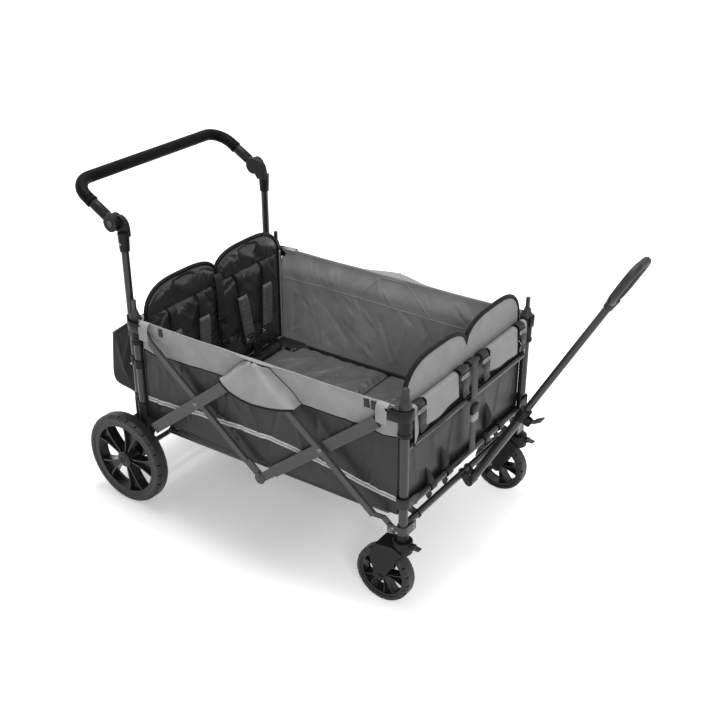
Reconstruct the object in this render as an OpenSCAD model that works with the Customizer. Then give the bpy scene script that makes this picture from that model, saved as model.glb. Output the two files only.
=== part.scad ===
// Four-seat folding stroller wagon: two tubular end frames joined by scissor bars,
// on two rear wheels and two front casters, with a fabric tub between them.
// Millimetres, +X to the front, +Y to the left, +Z up. Modules are written with the
// rear posts at x = 0 and the ground at z = 0; placed() moves them to the middle.

/* [Frame] */
// Distance between the rear and front post axes
post_spacing = 917; // [760:1:1050]
// Room between each side of a seat back and the post axis beside it
post_room = 23.5; // [21:0.5:30]
// Outer diameter of the posts
post_d = 25; // [22:0.5:30]
// Outer diameter of the crossbars
crossbar_d = 19; // [15:0.5:22]
// Wall of the round tubes
tube_wall = 2; // [1.5:0.1:2.5]
// Height of the post tops
post_top_z = 588; // [570:1:620]
// Height of the middle crossbars
mid_bar_z = 484; // [440:1:500]
// Height of the lower crossbars
low_bar_z = 304; // [295:1:330]
// Height of the bottom crossbars
bottom_bar_z = 251; // [245:1:260]
// Height of the canopy peg tops
peg_top_z = 662; // [640:1:690]
// Diameter of the canopy pegs
peg_d = 13; // [10:0.5:16]

/* [Scissor bars] */
// Height of the lower pivots
pivot_low_z = 241; // [232:1:250]
// Height of the upper pivots above the lower ones
pivot_rise = 348; // [320:1:370]
// Distance of the end pivots from the post axes
pivot_inset = 26; // [24:0.5:34]
// Width of the wide bars
wide_bar_w = 33; // [28:0.5:36]
// Width of the narrow bars
narrow_bar_w = 18; // [18:0.5:24]
// Thickness of the bars
bar_t = 10; // [9:0.5:12]
// Turn of the bars from open to folded
fold_turn = 36; // [28:0.5:37]

/* [Rear wheels] */
// Diameter of the rear tyres
rear_wheel_d = 290; // [260:1:310]
// Width of the rear tyres
rear_wheel_w = 44; // [38:0.5:50]
// Gap between a rear wheel and the pivot rivet beside it
wheel_gap = 2.7; // [2:0.1:10]
// Distance of the axle behind the rear posts
axle_back = 42; // [34:1:52]
// Diameter of the axle rod
axle_d = 16; // [12:0.5:18]
// Pairs of spokes in each rim
spoke_pairs = 5; // [4:1:6]

/* [Casters] */
// Diameter of the front tyres
caster_d = 167; // [150:1:175]
// Width of the front tyres
caster_w = 44; // [38:0.5:48]
// Distance of the caster axle behind its stem
caster_trail = 52; // [40:1:60]
// Diameter of the swivel housing
swivel_d = 54; // [46:0.5:60]
// Height of the top of the swivel housing
swivel_top_z = 208; // [204:0.5:214]

/* [Push handle] */
// Distance of the uprights behind the rear posts
upright_back = 29; // [27:0.5:36]
// Distance of each upright axis inside the post axis
upright_in = 13.5; // [8:0.5:18]
// Outer diameter of the uprights and handle tube
upright_d = 22; // [18:0.5:24]
// Distance of the handle hinge behind the rear posts
hinge_back = 63; // [58:1:75]
// Height of the handle hinge
hinge_z = 878; // [850:1:950]
// Diameter of the hinge discs
hinge_d = 50; // [44:0.5:56]
// Distance from the hinge to the middle of the grip bar
handle_reach = 173; // [150:1:220]
// Rise of the handle arms above the horizontal
handle_lift = 30; // [15:1:50]
// Diameter of the foam grip
grip_d = 32; // [28:0.5:36]

/* [Pull handle] */
// Distance of the pull-handle pivot ahead of the front posts
pull_ahead = 20; // [19:0.5:28]
// Height of the pull-handle pivot
pull_z = 226; // [218:0.5:228]
// Lean of the pull handle above the horizontal
pull_lean = 61; // [55:1:66]
// Length of the outer tube
pull_outer_len = 300; // [260:1:340]
// Outer diameter of the outer tube
pull_outer_d = 25; // [23:0.5:28]
// Length from the pivot to the middle of the loop's far bar
pull_len = 862; // [800:1:920]
// Width of the loop grip between its tube axes
loop_w = 92; // [84:1:110]

/* [Floor] */
// Distance of the floor hinges from the posts
floor_inset = 74; // [70:1:84]
// Height of the floor hinges
floor_hinge_z = 275; // [272:1:280]
// Distance of each rear floor rail inside the post axis
rail_in = 25.5; // [22:0.5:50]
// Outer diameter of the floor rails
rail_d = 18; // [15:0.5:20]
// Height of the top of the floor pads
pad_top_z = 291; // [286:1:296]

/* [Seats and cloth] */
// Height of the seat-back lobes
seat_peak_z = 674; // [650:1:700]
// Height of the dip between the lobes
seat_dip_z = 638; // [620:1:660]
// Width of the seat backs
seat_w = 604; // [540:1:606]
// Thickness of the seat backs
seat_t = 24; // [18:0.5:26]
// Height of the top edge of the side cloths
cloth_top_z = 614; // [600:1:625]
// Height of the bottom edge of the side cloths
cloth_low_z = 277; // [270:1:290]
// Thickness of the cloth
cloth_t = 3; // [2:0.25:4]
// Depth of the folds in the side cloths
fold_depth = 4; // [2:0.25:5]
// Depth of the storage basket behind the uprights
basket_depth = 116; // [90:1:150]

/* [Hidden] */
$fn = 64;

// Shared clearances and small sizes
eps = 0.5;
slide_gap = 0.4;
pin_gap = 0.1;
face_gap = 0.5;
seat_gap = 0.3;
plate_t = 3;
sleeve_wall = 3.5;
pin_r = 5;
collar_step = 1;
head_r = 8;
small_head_r = 6;
head_t = 2.4;

// Posts and bars
py = seat_w / 2 + post_room;
post_r = post_d / 2;
bar_r = crossbar_d / 2;
foot_drop = 14;
post_low_z = pivot_low_z - foot_drop;
post_out_y = py + post_r;
mid_x = post_spacing / 2;

// Scissor linkage
pivot_top_z = pivot_low_z + pivot_rise;
half_span = mid_x - pivot_inset;
bar_len = norm([half_span, pivot_rise]);
bar_lean = atan2(pivot_rise, half_span);
fold_rise = bar_len * (sin(bar_lean + fold_turn) - sin(bar_lean));
bar_wall = 2;
lug_r = 9;
lug_t = 4.5;
lug_out_y = post_out_y - face_gap;
lug_in_y = lug_out_y - lug_t;
neck_len = 36;
shank_len = 58;
hub_lug_len = 62;
hub_lug_r = 13;
hub_lug_t = (bar_t - slide_gap) / 2;
layer_gap = 2;
inner_y = post_out_y + layer_gap;
outer_y = inner_y + bar_t + layer_gap;
end_fill = 12;
cross_pin_r = 4;
spacer_r = 6;
flange_half = 13;

// Top slides
collar_drop = 63;
collar_low_z = post_top_z - collar_drop;
bracket_cap = 13;
bracket_top_z = post_top_z + bracket_cap;
collar_wall = 4.5;
collar_r = post_r + collar_wall;
lip_t = 2;
lip_h = 9;
arm_half = 14;
arm_t = 6;
guide_r = upright_d / 2 + slide_gap + sleeve_wall;
guide_h = 40;
rod_r = post_r - tube_wall - slide_gap;
engage = 70;
rod_low_z = post_top_z - fold_rise - engage;
peg_r = peg_d / 2;
peg_step = 1;
top_bar_z = post_top_z;

// Push handle
uy = py - upright_in;
upright_r = upright_d / 2;
upright_lift = 6;
upright_low_z = pivot_low_z + upright_lift;
base_drop = 78;
base_low_z = hinge_z - base_drop;
base_shoulder = 24;
base_top_z = hinge_z - base_shoulder;
hinge_pin_r = pin_r + collar_step;
hinge_r = hinge_d / 2;
hinge_x = -hinge_back;
upright_x = -upright_back;
base_half_t = 15;
cap_t = 15.5;
button_r = 10;
button_h = 7;
button_proud = 3;
button_travel = 3.5;
arm_wall = 3;
arm_r = upright_r + arm_wall;
arm_end = 85;
arm_blind = 45;
grip_gap = 3;
grip_start = arm_end + grip_gap;
corner_r = 62;
lift_dir = [-cos(handle_lift), 0, sin(handle_lift)];
hinge_pt = [hinge_x, 0, hinge_z];

// Rear wheels and housings
rear_r = rear_wheel_d / 2;
wy = post_out_y + plate_t + slide_gap + head_t + wheel_gap + rear_wheel_w / 2;
axle_r = axle_d / 2;
axle_x = -axle_back;
spoke_lean = 5;
spoke_flare = 11;
spoke_pinch = 6;
rear_blocks = 26;
caster_blocks = 18;
rim_share = 0.84;
hub_share = 0.17;
housing_rise = 89;
housing_top_z = pivot_low_z + housing_rise;
leg_w = 34;
boss_wall = 16;
boss_r = axle_r + boss_wall;
hub_cap_t = 6;

// Casters
caster_r = caster_d / 2;
fork_gap = 2.5;
fork_leg_t = 6;
fork_half = caster_w / 2 + fork_gap + fork_leg_t;
stem_r = 6;
stem_len = 42;
stem_gap = 1;
caster_axle_r = 5;
swivel_r = swivel_d / 2;
tyre_room = 5;
swivel_low_z = caster_d + tyre_room;
leg_rise = 8;
socket_gap = 1.5;
socket_low_z = swivel_top_z + socket_gap;
socket_flange_t = post_low_z - socket_low_z;
lock_r = 4;
lock_pin_r = 2;
lock_half = 8;
lock_len = 22;
lock_drop = 12;
lock_z = swivel_top_z - lock_drop;
lock_reach = 5;
lock_x = swivel_r + lock_reach;
lock_ear_t = 3;

// Pull handle
pull_x = post_spacing + pull_ahead;
pull_r = pull_outer_d / 2;
pull_wall = 2.2;
pull_bore_r = pull_r - pull_wall;
pull_inner_r = pull_bore_r - slide_gap;
pull_inner_wall = 1.6;
pull_plug = 26;
pull_tuck = 60;
pull_eye_end = 18;
clevis_t = 4;
clevis_r = 13;
clamp_wall = 4;
clamp_grip = 20;
clamp_low = pull_outer_len - clamp_grip;
clamp_cap = 18;
clamp_top = pull_outer_len + clamp_cap;
lever_pin_r = 3;
lever_half = 6.2;
lever_ear_t = 3.5;
lever_stand = 11;
lever_out = pull_r + lever_stand;
lever_rise = clamp_grip / 2;
lever_z = clamp_low + lever_rise;
lever_cam_r = 7.5;
lever_len = 42;
lever_t = 6;
lever_w = 24;
lever_flare = 31;
loop_r = 10.5;
loop_turn_r = 28;
loop_len = 150;
loop_neck_z = pull_len - loop_len;
loop_neck_len = 34;
loop_sink = 6;
loop_low_z = loop_neck_z + loop_neck_len - loop_sink + loop_w / 2;

// Floor
rail_r = rail_d / 2;
rail_nest_gap = 4;
rear_rail_track = 2 * (py - rail_in);
front_rail_track = rear_rail_track - 2 * (rail_d + rail_nest_gap);
pad_stack = 46;
rail_z = pad_top_z - pad_stack;
pad_low_z = rail_z + rail_r;
pad_edge_t = 22;
pad_back = 15;
pad_end_gap = 55;
pad_bevel = 18;
rail_end_gap = 64;
floor_pin_r = 4;
floor_lug_t = 5;
floor_lug_r = 10;
pad_channel = 4;
pad_side_gap = 10;
pad_post_gap = 13;
pad_half_w = py - pad_post_gap;
lug_gap = 0.5;

// Seats and cloth
wave_share = 0.25;
panel_wave = fold_depth * wave_share;
panel_share = 0.4;
panel_mid_t = cloth_t * panel_share;
panel_x = bar_r + seat_gap + panel_wave + panel_mid_t;
seat_x = panel_x + panel_mid_t + panel_wave + seat_gap;
pad_clear = 3;
seat_low_z = pad_top_z + pad_clear;
seat_shoulder = 26;
seat_side_z = seat_dip_z - seat_shoulder;
seat_edge_t = 9;
seat_channel = 5;
panel_gap = 3;
panel_half_w = py - collar_r - panel_gap;
panel_hem = 6;
panel_low_z = low_bar_z - panel_hem;
panel_drop = 36;
panel_top_z = top_bar_z - panel_drop;
flap_t = 2.5;
flap_inset = 140.5;
flap_w = panel_half_w - flap_inset;
flap_drop = 66;
flap_tuck = 26;
web_w = 25;
web_drop = 48;
cloth_in = 4.5;
cloth_y = py - cloth_in;
cloth_x = collar_r + lip_t + seat_gap;
hub_flap_half = 125;
hub_flap_drop = 72;
hub_flap_low_z = pivot_top_z - hub_flap_drop;
flap_room = 1;
hub_flap_lift = 8;
flap_side_share = 0.048;
flap_top_share = 0.034;
strap_w = 38;
strap_t = 2.5;
strap_x = seat_x + seat_t + seat_gap;
buckle_x = strap_x - face_gap;
strap_rise = 40;
strap_low_z = seat_low_z + strap_rise;
strap_drop = 112;
strap_top_z = seat_peak_z - strap_drop;
pad_lap = 12;
pad_gap = 0.4;
strap_spread = 62;
pad_w = 48;
pad_len = 150;
pad_t = 9;
buckle_w = 42;
buckle_h = 46;
buckle_t = 12;

// Basket
basket_gap = 4;
basket_front_x = upright_x - upright_r - basket_gap;
basket_side_gap = 22;
basket_half_w = uy - basket_side_gap;
basket_rise = 78;
basket_low_z = pivot_low_z + basket_rise;
basket_top_drop = 13;
basket_top_z = post_top_z - basket_top_drop;
basket_drop = 73;
basket_lift = 24;
basket_waist = 10;
basket_loop_low_z = housing_top_z + web_w;
basket_loop_top_z = mid_bar_z + web_w / 2;

// Brake pedal
pedal_half = 40;
pedal_wall = 5;
pedal_len = 76;
pedal_t = 8;
pedal_rise = 18;
rib_t = 2;

// Where the middle of the whole wagon lies along X
rear_reach = hinge_x - handle_reach * cos(handle_lift) - grip_d / 2;
front_reach = pull_x + pull_len * cos(pull_lean) + loop_r;
x_ref = (rear_reach + front_reach) / 2;

// Helpers
module placed() {
  translate([-x_ref, 0, 0]) children();
}

module both_sides() {
  children();
  mirror([0, 1, 0]) children();
}

module right_side() {
  mirror([0, 1, 0]) children();
}

module at_front() {
  translate([post_spacing, 0, 0]) mirror([1, 0, 0]) children();
}

module rod(p, q, r) {
  d = q - p;
  translate(p) rotate([0, acos(d[2] / norm(d)), atan2(d[1], d[0])]) cylinder(h = norm(d), r = r);
}

// A cylinder along +Y
module pin(x, y, z, len, r) {
  translate([x, y, z]) rotate([-90, 0, 0]) cylinder(h = len, r = r);
}

// A straight web between two upright axes, seen from above
module web_2d(p, q, half) {
  d = (q - p) / norm(q - p);
  n = [-d[1], d[0]] * half;
  polygon([p + n, q + n, q - n, p - n]);
}

// Faces of a closed slab with a front and a back grid of (nu + 1) x (nv + 1) points
function grid_at(i, j, nv) = i * (nv + 1) + j;

function slab_faces(nu, nv) =
  let (back = (nu + 1) * (nv + 1))
  concat(
    [for (i = [0 : nu - 1]) for (j = [0 : nv - 1])
      [grid_at(i, j, nv), grid_at(i + 1, j + 1, nv), grid_at(i + 1, j, nv)]],
    [for (i = [0 : nu - 1]) for (j = [0 : nv - 1])
      [grid_at(i, j, nv), grid_at(i, j + 1, nv), grid_at(i + 1, j + 1, nv)]],
    [for (i = [0 : nu - 1]) for (j = [0 : nv - 1])
      [back + grid_at(i, j, nv), back + grid_at(i + 1, j, nv), back + grid_at(i + 1, j + 1, nv)]],
    [for (i = [0 : nu - 1]) for (j = [0 : nv - 1])
      [back + grid_at(i, j, nv), back + grid_at(i + 1, j + 1, nv), back + grid_at(i, j + 1, nv)]],
    [for (i = [0 : nu - 1]) [grid_at(i, 0, nv), grid_at(i + 1, 0, nv), back + grid_at(i + 1, 0, nv)]],
    [for (i = [0 : nu - 1]) [grid_at(i, 0, nv), back + grid_at(i + 1, 0, nv), back + grid_at(i, 0, nv)]],
    [for (i = [0 : nu - 1]) [grid_at(i, nv, nv), back + grid_at(i + 1, nv, nv), grid_at(i + 1, nv, nv)]],
    [for (i = [0 : nu - 1]) [grid_at(i, nv, nv), back + grid_at(i, nv, nv), back + grid_at(i + 1, nv, nv)]],
    [for (j = [0 : nv - 1]) [grid_at(0, j, nv), back + grid_at(0, j + 1, nv), grid_at(0, j + 1, nv)]],
    [for (j = [0 : nv - 1]) [grid_at(0, j, nv), back + grid_at(0, j, nv), back + grid_at(0, j + 1, nv)]],
    [for (j = [0 : nv - 1]) [grid_at(nu, j, nv), grid_at(nu, j + 1, nv), back + grid_at(nu, j + 1, nv)]],
    [for (j = [0 : nv - 1]) [grid_at(nu, j, nv), back + grid_at(nu, j + 1, nv), back + grid_at(nu, j, nv)]]
  );

module slab(front, back, nu, nv) {
  polyhedron(points = concat(front, back), faces = slab_faces(nu, nv), convexity = 4);
}

function ease(t) = t <= 0 ? 0 : t >= 1 ? 1 : t * t * (3 - 2 * t);

// Rear and front end frames
module posts(low_z) {
  both_sides() difference() {
    translate([0, py, low_z]) cylinder(h = post_top_z - low_z, r = post_r);
    translate([0, py, low_z - eps]) cylinder(h = post_top_z - low_z + 2 * eps, r = post_r - tube_wall);
  }
}

module crossbar(z) {
  difference() {
    rod([0, -py, z], [0, py, z], bar_r);
    rod([0, -py - eps, z], [0, py + eps, z], bar_r - tube_wall);
    both_sides() translate([0, py, z - post_d]) cylinder(h = 2 * post_d, r = post_r);
  }
}

// The space a crossbar takes in a piece at the left post
module bar_end(z) {
  rod([0, 0, z], [0, py, z], bar_r);
}

// Two hinge lugs welded under the bottom crossbar for a floor half
module floor_lugs(track) {
  lug_y = track / 2 - rail_r - 2 * (floor_lug_t + lug_gap);
  both_sides() difference() {
    union() {
      translate([0, lug_y, 0]) rotate([90, 0, 0]) linear_extrude(height = floor_lug_t) union() {
        translate([0, bottom_bar_z]) circle(r = bar_r + plate_t);
        translate([floor_inset, floor_hinge_z]) circle(r = floor_lug_r);
        web_2d([0, bottom_bar_z], [floor_inset, floor_hinge_z], floor_lug_r);
      }
      pin(floor_inset, lug_y - eps, floor_hinge_z, floor_lug_t + 2 * eps, floor_pin_r);
    }
    bar_end(bottom_bar_z);
  }
}

module crossbars(rail_track) {
  crossbar(mid_bar_z);
  crossbar(low_bar_z);
  crossbar(bottom_bar_z);
  floor_lugs(rail_track);
}

module rear_posts() {
  color("dimgray") posts(post_low_z);
}

module rear_crossbars() {
  color("dimgray") crossbars(rear_rail_track);
}

module front_posts() {
  color("dimgray") at_front() posts(post_low_z);
}

module front_crossbars() {
  color("dimgray") at_front() crossbars(front_rail_track);
}

// Plastic housings that take the post, the upright and the rear axle
module axle_housing() {
  flange_end = pivot_inset + flange_half;
  difference() {
    union() {
      translate([0, py, post_low_z - plate_t]) cylinder(h = housing_top_z - post_low_z + plate_t,
        r = post_r + sleeve_wall);
      translate([upright_x, uy, upright_low_z]) cylinder(h = housing_top_z - upright_low_z,
        r = upright_r + sleeve_wall);
      translate([0, 0, upright_low_z]) linear_extrude(height = housing_top_z - upright_low_z)
        web_2d([0, py], [upright_x, uy], upright_r);
      translate([0, post_out_y, 0]) rotate([90, 0, 0]) linear_extrude(height = leg_w) union() {
        polygon([
          [upright_x - upright_r - sleeve_wall, upright_low_z + post_d],
          [post_r + sleeve_wall, upright_low_z + post_d],
          [post_r + sleeve_wall, post_low_z - plate_t],
          [axle_x + boss_r * cos(30), rear_r - boss_r * sin(30)],
          [axle_x - boss_r, rear_r]
        ]);
        translate([axle_x, rear_r]) circle(r = boss_r);
      }
      translate([0, post_out_y, pivot_low_z - flange_half]) cube([flange_end, plate_t, 2 * flange_half]);
    }
    translate([0, py, post_low_z]) cylinder(h = housing_top_z - post_low_z + eps, r = post_r);
    translate([upright_x, uy, upright_low_z + plate_t]) cylinder(h = housing_top_z, r = upright_r);
    pin(axle_x, 0, rear_r, wy, axle_r);
    pin(pivot_inset, post_out_y - eps, pivot_low_z, plate_t + 2 * eps, pin_r + pin_gap);
    bar_end(low_bar_z);
    bar_end(bottom_bar_z);
    // Ribs left between two pockets in the inner face of the leg
    for (k = [0 : 1]) {
      pocket_x = axle_x + boss_r * (0.1 + 0.75 * k);
      pocket_z = rear_r + boss_r * (1.1 + 0.85 * k);
      translate([pocket_x, post_out_y - leg_w - eps, pocket_z])
        rotate([0, 40, 0]) cube([boss_r * 0.62, leg_w * 0.4, boss_r * 0.62]);
    }
  }
}

module axle_housings() {
  color("black") both_sides() axle_housing();
}

module rear_axle() {
  axle_half = wy + rear_wheel_w / 2 - hub_cap_t;
  color("silver") rod([axle_x, -axle_half, rear_r], [axle_x, axle_half, rear_r], axle_r);
}

module handle_uprights() {
  top_z = base_top_z - plate_t;
  color("dimgray") both_sides() difference() {
    translate([upright_x, uy, upright_low_z + plate_t]) cylinder(h = top_z - upright_low_z - plate_t,
      r = upright_r);
    translate([upright_x, uy, upright_low_z]) cylinder(h = top_z - upright_low_z + eps,
      r = upright_r - tube_wall);
  }
}

module handle_clamps() {
  band_h = post_d;
  band_z = mid_bar_z - bar_r - band_h - plate_t;
  color("black") both_sides() difference() {
    translate([0, 0, band_z]) linear_extrude(height = band_h) union() {
      translate([0, py]) circle(r = post_r + sleeve_wall);
      translate([upright_x, uy]) circle(r = upright_r + sleeve_wall);
      web_2d([0, py], [upright_x, uy], upright_r * 0.7);
    }
    translate([0, py, band_z - eps]) cylinder(h = band_h + 2 * eps, r = post_r);
    translate([upright_x, uy, band_z - eps]) cylinder(h = band_h + 2 * eps, r = upright_r);
  }
}

// Push handle: sockets on the uprights, hinge caps, buttons, tube and foam grip
module hinge_bases() {
  sleeve_h = base_top_z - base_low_z;
  color("black") both_sides() difference() {
    union() {
      translate([upright_x, uy, base_low_z]) cylinder(h = sleeve_h, r1 = upright_r + sleeve_wall,
        r2 = upright_r + 1.7 * sleeve_wall);
      translate([0, uy - face_gap, 0]) rotate([90, 0, 0]) linear_extrude(height = base_half_t) union() {
        translate([hinge_x, hinge_z]) circle(r = hinge_r);
        polygon([
          [upright_x + upright_r + sleeve_wall, base_top_z - hinge_r * 0.3],
          [upright_x + upright_r * 0.6, base_top_z + hinge_r * 0.7],
          [hinge_x + hinge_r * cos(60), hinge_z + hinge_r * sin(60)],
          [hinge_x + hinge_r * cos(70), hinge_z - hinge_r * sin(70)],
          [upright_x - upright_r - sleeve_wall, base_top_z - hinge_r * 0.6]
        ]);
      }
      pin(hinge_x, uy - base_half_t, hinge_z, base_half_t + cap_t * 0.35, hinge_pin_r);
    }
    translate([upright_x, uy, base_low_z - eps]) cylinder(h = sleeve_h - plate_t + eps, r = upright_r);
    // Screw recess on the inner face
    pin(hinge_x, uy - face_gap - base_half_t - eps, hinge_z, plate_t, head_r);
  }
}

module hinge_cap() {
  arm_from = hinge_pt + [0, uy, 0];
  difference() {
    union() {
      pin(hinge_x, uy, hinge_z, cap_t, hinge_r);
      rod(arm_from, arm_from + lift_dir * arm_end, arm_r);
    }
    // The half that turns over the base
    pin(hinge_x, uy - arm_r - eps, hinge_z, arm_r + eps, hinge_r + face_gap);
    pin(hinge_x, uy - eps, hinge_z, cap_t * 0.4 + eps, hinge_pin_r + pin_gap);
    pin(hinge_x, uy + cap_t - button_h + button_proud - button_travel, hinge_z, cap_t,
      button_r + slide_gap);
    rod(arm_from + lift_dir * arm_blind, arm_from + lift_dir * (arm_end + eps), upright_r);
  }
}

module hinge_caps() {
  color("black") both_sides() hinge_cap();
}

module hinge_button() {
  button_y = uy + cap_t - button_h + button_proud;
  difference() {
    union() {
      pin(hinge_x, button_y, hinge_z, button_h - rib_t, button_r);
      translate([hinge_x, button_y + button_h - rib_t, hinge_z]) rotate([-90, 0, 0])
        cylinder(h = rib_t, r1 = button_r, r2 = button_r - rib_t);
    }
    // Shallow finger dish
    translate([hinge_x, button_y + button_h + 3 * button_r - rib_t / 2, hinge_z]) sphere(r = 3 * button_r);
  }
}

module hinge_button_left() {
  color("gray") hinge_button();
}

module hinge_button_right() {
  color("gray") right_side() hinge_button();
}

// The U of the push handle in its own plane, arms along +X from the hinge
module handle_place() {
  translate(hinge_pt) rotate([0, 180 + handle_lift, 0]) children();
}

module quarter_bend(turn, r, start) {
  rotate([0, 0, start]) rotate_extrude(angle = 90) translate([turn, 0]) circle(r = r);
}

module handle_tube(from, r) {
  bar_half = uy - corner_r;
  arm_to = handle_reach - corner_r;
  for (side = [-1, 1]) {
    translate([from, side * uy, 0]) rotate([0, 90, 0]) cylinder(h = arm_to - from, r = r);
  }
  translate([arm_to, bar_half, 0]) quarter_bend(corner_r, r, 0);
  translate([arm_to, -bar_half, 0]) quarter_bend(corner_r, r, -90);
  translate([handle_reach, -bar_half, 0]) rotate([-90, 0, 0]) cylinder(h = 2 * bar_half, r = r);
}

module handle_bar() {
  color("dimgray") handle_place() difference() {
    handle_tube(arm_blind, upright_r);
    handle_tube(arm_blind - eps, upright_r - tube_wall);
  }
}

module handle_grip() {
  color("black") handle_place() difference() {
    handle_tube(grip_start, grip_d / 2);
    handle_tube(grip_start - eps, upright_r);
  }
}

// Foot brake on the axle
module brake_pedal() {
  tread_x = axle_x - pedal_len;
  tread_z = rear_r + pedal_rise;
  color("dimgray") difference() {
    union() {
      pin(axle_x, -pedal_half, rear_r, 2 * pedal_half, axle_r + pedal_wall);
      translate([0, pedal_half * 0.85, 0]) rotate([90, 0, 0]) linear_extrude(height = 1.7 * pedal_half)
        web_2d([axle_x, rear_r + axle_r], [tread_x, tread_z], pedal_t / 2);
      pin(tread_x, -pedal_half * 0.85, tread_z, 1.7 * pedal_half, pedal_t * 0.7);
      for (k = [1 : 3]) {
        pin(tread_x + k * pedal_t * 1.6, -pedal_half * 0.8, tread_z + pedal_t * 0.5 - k * rib_t * 0.9,
          1.6 * pedal_half, rib_t);
      }
    }
    pin(axle_x, -pedal_half - eps, rear_r, 2 * (pedal_half + eps), axle_r + pin_gap);
  }
}

// Wheels, with the axle along Z and the outer face at +Z
function rib_pt(side, t, off, r0, r1) =
  let (r = r0 + (r1 - r0) * t)
  let (a = side * (spoke_lean + spoke_flare * t * t + spoke_pinch * (1 - t)))
  [r * cos(a) - off * sin(a), r * sin(a) + off * cos(a)];

module spoke_ribs(r0, r1, t) {
  steps = 5;
  for (k = [0 : spoke_pairs - 1]) {
    for (side = [-1, 1]) {
      rotate(360 / spoke_pairs * k) polygon(concat(
        [for (i = [0 : steps]) rib_pt(side, i / steps, t / 2, r0, r1)],
        [for (i = [steps : -1 : 0]) rib_pt(side, i / steps, -t / 2, r0, r1)]
      ));
    }
  }
}

module spoke_webs(r0, r1) {
  steps = 5;
  for (k = [0 : spoke_pairs - 1]) {
    rotate(360 / spoke_pairs * k) polygon(concat(
      [for (i = [0 : steps]) rib_pt(-1, i / steps, 0, r0, r1)],
      [for (i = [steps : -1 : 0]) rib_pt(1, i / steps, 0, r0, r1)]
    ));
  }
}

module spoked_rim(tyre_r, w, bore_r, blind) {
  rim_r = tyre_r * rim_share;
  hub_r = tyre_r * hub_share;
  band = tyre_r * 0.06;
  difference() {
    union() {
      rotate_extrude() polygon([
        [rim_r - band * 1.5, -w * 0.42],
        [rim_r, -w * 0.42],
        [rim_r, w * 0.42],
        [rim_r - band * 1.5, w * 0.42],
        [rim_r - band, w * 0.3],
        [rim_r - band, -w * 0.3]
      ]);
      translate([0, 0, -w / 2]) cylinder(h = w, r = hub_r);
      translate([0, 0, w / 2]) cylinder(h = w * 0.09, r1 = hub_r * 0.86, r2 = hub_r * 0.7);
      translate([0, 0, -w * 0.36]) linear_extrude(height = w * 0.72)
        spoke_ribs(hub_r - band / 2, rim_r - band * 0.7, band * 0.55);
      translate([0, 0, -w * 0.1]) linear_extrude(height = w * 0.2)
        spoke_webs(hub_r - band / 2, rim_r - band * 0.7);
    }
    translate([0, 0, -w]) cylinder(h = blind ? 1.5 * w - hub_cap_t : 3 * w, r = bore_r);
  }
}

module tyre(tyre_r, w, blocks) {
  rim_r = tyre_r * rim_share;
  shoulder = w * 0.2;
  cut = w * 0.05;
  difference() {
    rotate_extrude() polygon([
      [rim_r, -w * 0.42],
      [tyre_r * 0.9, -w * 0.5],
      [tyre_r - shoulder, -w * 0.5],
      [tyre_r - shoulder * 0.35, -w * 0.44],
      [tyre_r, -w * 0.28],
      [tyre_r, w * 0.28],
      [tyre_r - shoulder * 0.35, w * 0.44],
      [tyre_r - shoulder, w * 0.5],
      [tyre_r * 0.9, w * 0.5],
      [rim_r, w * 0.42]
    ]);
    for (k = [0 : blocks - 1]) {
      for (side = [-1, 1]) {
        rotate(360 / blocks * (k + side / 4))
          translate([tyre_r - shoulder * 0.7, -cut, side * w * 0.41 - w * 0.14])
          cube([shoulder, 2 * cut, w * 0.28]);
      }
    }
  }
}

module rear_wheel_place() {
  translate([axle_x, wy, rear_r]) rotate([-90, 0, 0]) children();
}

module rear_tyre_left() {
  color("black") rear_wheel_place() tyre(rear_r, rear_wheel_w, rear_blocks);
}

module rear_rim_left() {
  color("dimgray") rear_wheel_place() spoked_rim(rear_r, rear_wheel_w, axle_r + pin_gap, true);
}

module rear_tyre_right() {
  color("black") right_side() rear_wheel_place() tyre(rear_r, rear_wheel_w, rear_blocks);
}

module rear_rim_right() {
  color("dimgray") right_side() rear_wheel_place() spoked_rim(rear_r, rear_wheel_w, axle_r + pin_gap, true);
}

// Scissor bars: pressed channels with a joggled lug at the post and half lugs at the hub.
// Written along +X from the post pivot, outward along +Y.
module scissor_bar(w, y0, hub_outer, cross_r) {
  body_end = bar_len - hub_lug_len;
  hub_y = hub_outer ? y0 + bar_t - hub_lug_t : y0;
  hub_hole = hub_outer ? pin_r + pin_gap : pin_r;
  difference() {
    union() {
      translate([shank_len, y0, -w / 2]) cube([body_end - shank_len, bar_t, w]);
      pin(0, lug_in_y, 0, lug_t, lug_r);
      translate([0, lug_in_y, -lug_r]) cube([neck_len, lug_t, 2 * lug_r]);
      translate([0, 0, -lug_r]) linear_extrude(height = 2 * lug_r) polygon([
        [neck_len, lug_in_y],
        [shank_len, y0],
        [shank_len, y0 + lug_t],
        [neck_len, lug_out_y]
      ]);
      pin(bar_len, hub_y, 0, hub_lug_t, hub_lug_r);
      translate([body_end, hub_y, -hub_lug_r]) cube([hub_lug_len, hub_lug_t, 2 * hub_lug_r]);
    }
    translate([shank_len + end_fill, y0 - eps, -w / 2 + bar_wall])
      cube([body_end - shank_len - 2 * end_fill, bar_t - bar_wall + eps, w - 2 * bar_wall]);
    pin(0, lug_in_y - eps, 0, lug_t + 2 * eps, pin_r);
    pin(bar_len, hub_y - eps, 0, hub_lug_t + 2 * eps, hub_hole);
    pin(bar_len / 2, y0 - eps, 0, bar_t + 2 * eps, cross_r);
  }
}

// A bar from the rear low pivot up to the top hub, and one from the rear top down
module rising() {
  translate([pivot_inset, 0, pivot_low_z]) rotate([0, -bar_lean, 0]) children();
}

module falling() {
  translate([pivot_inset, 0, pivot_top_z]) rotate([0, bar_lean, 0]) children();
}

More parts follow.
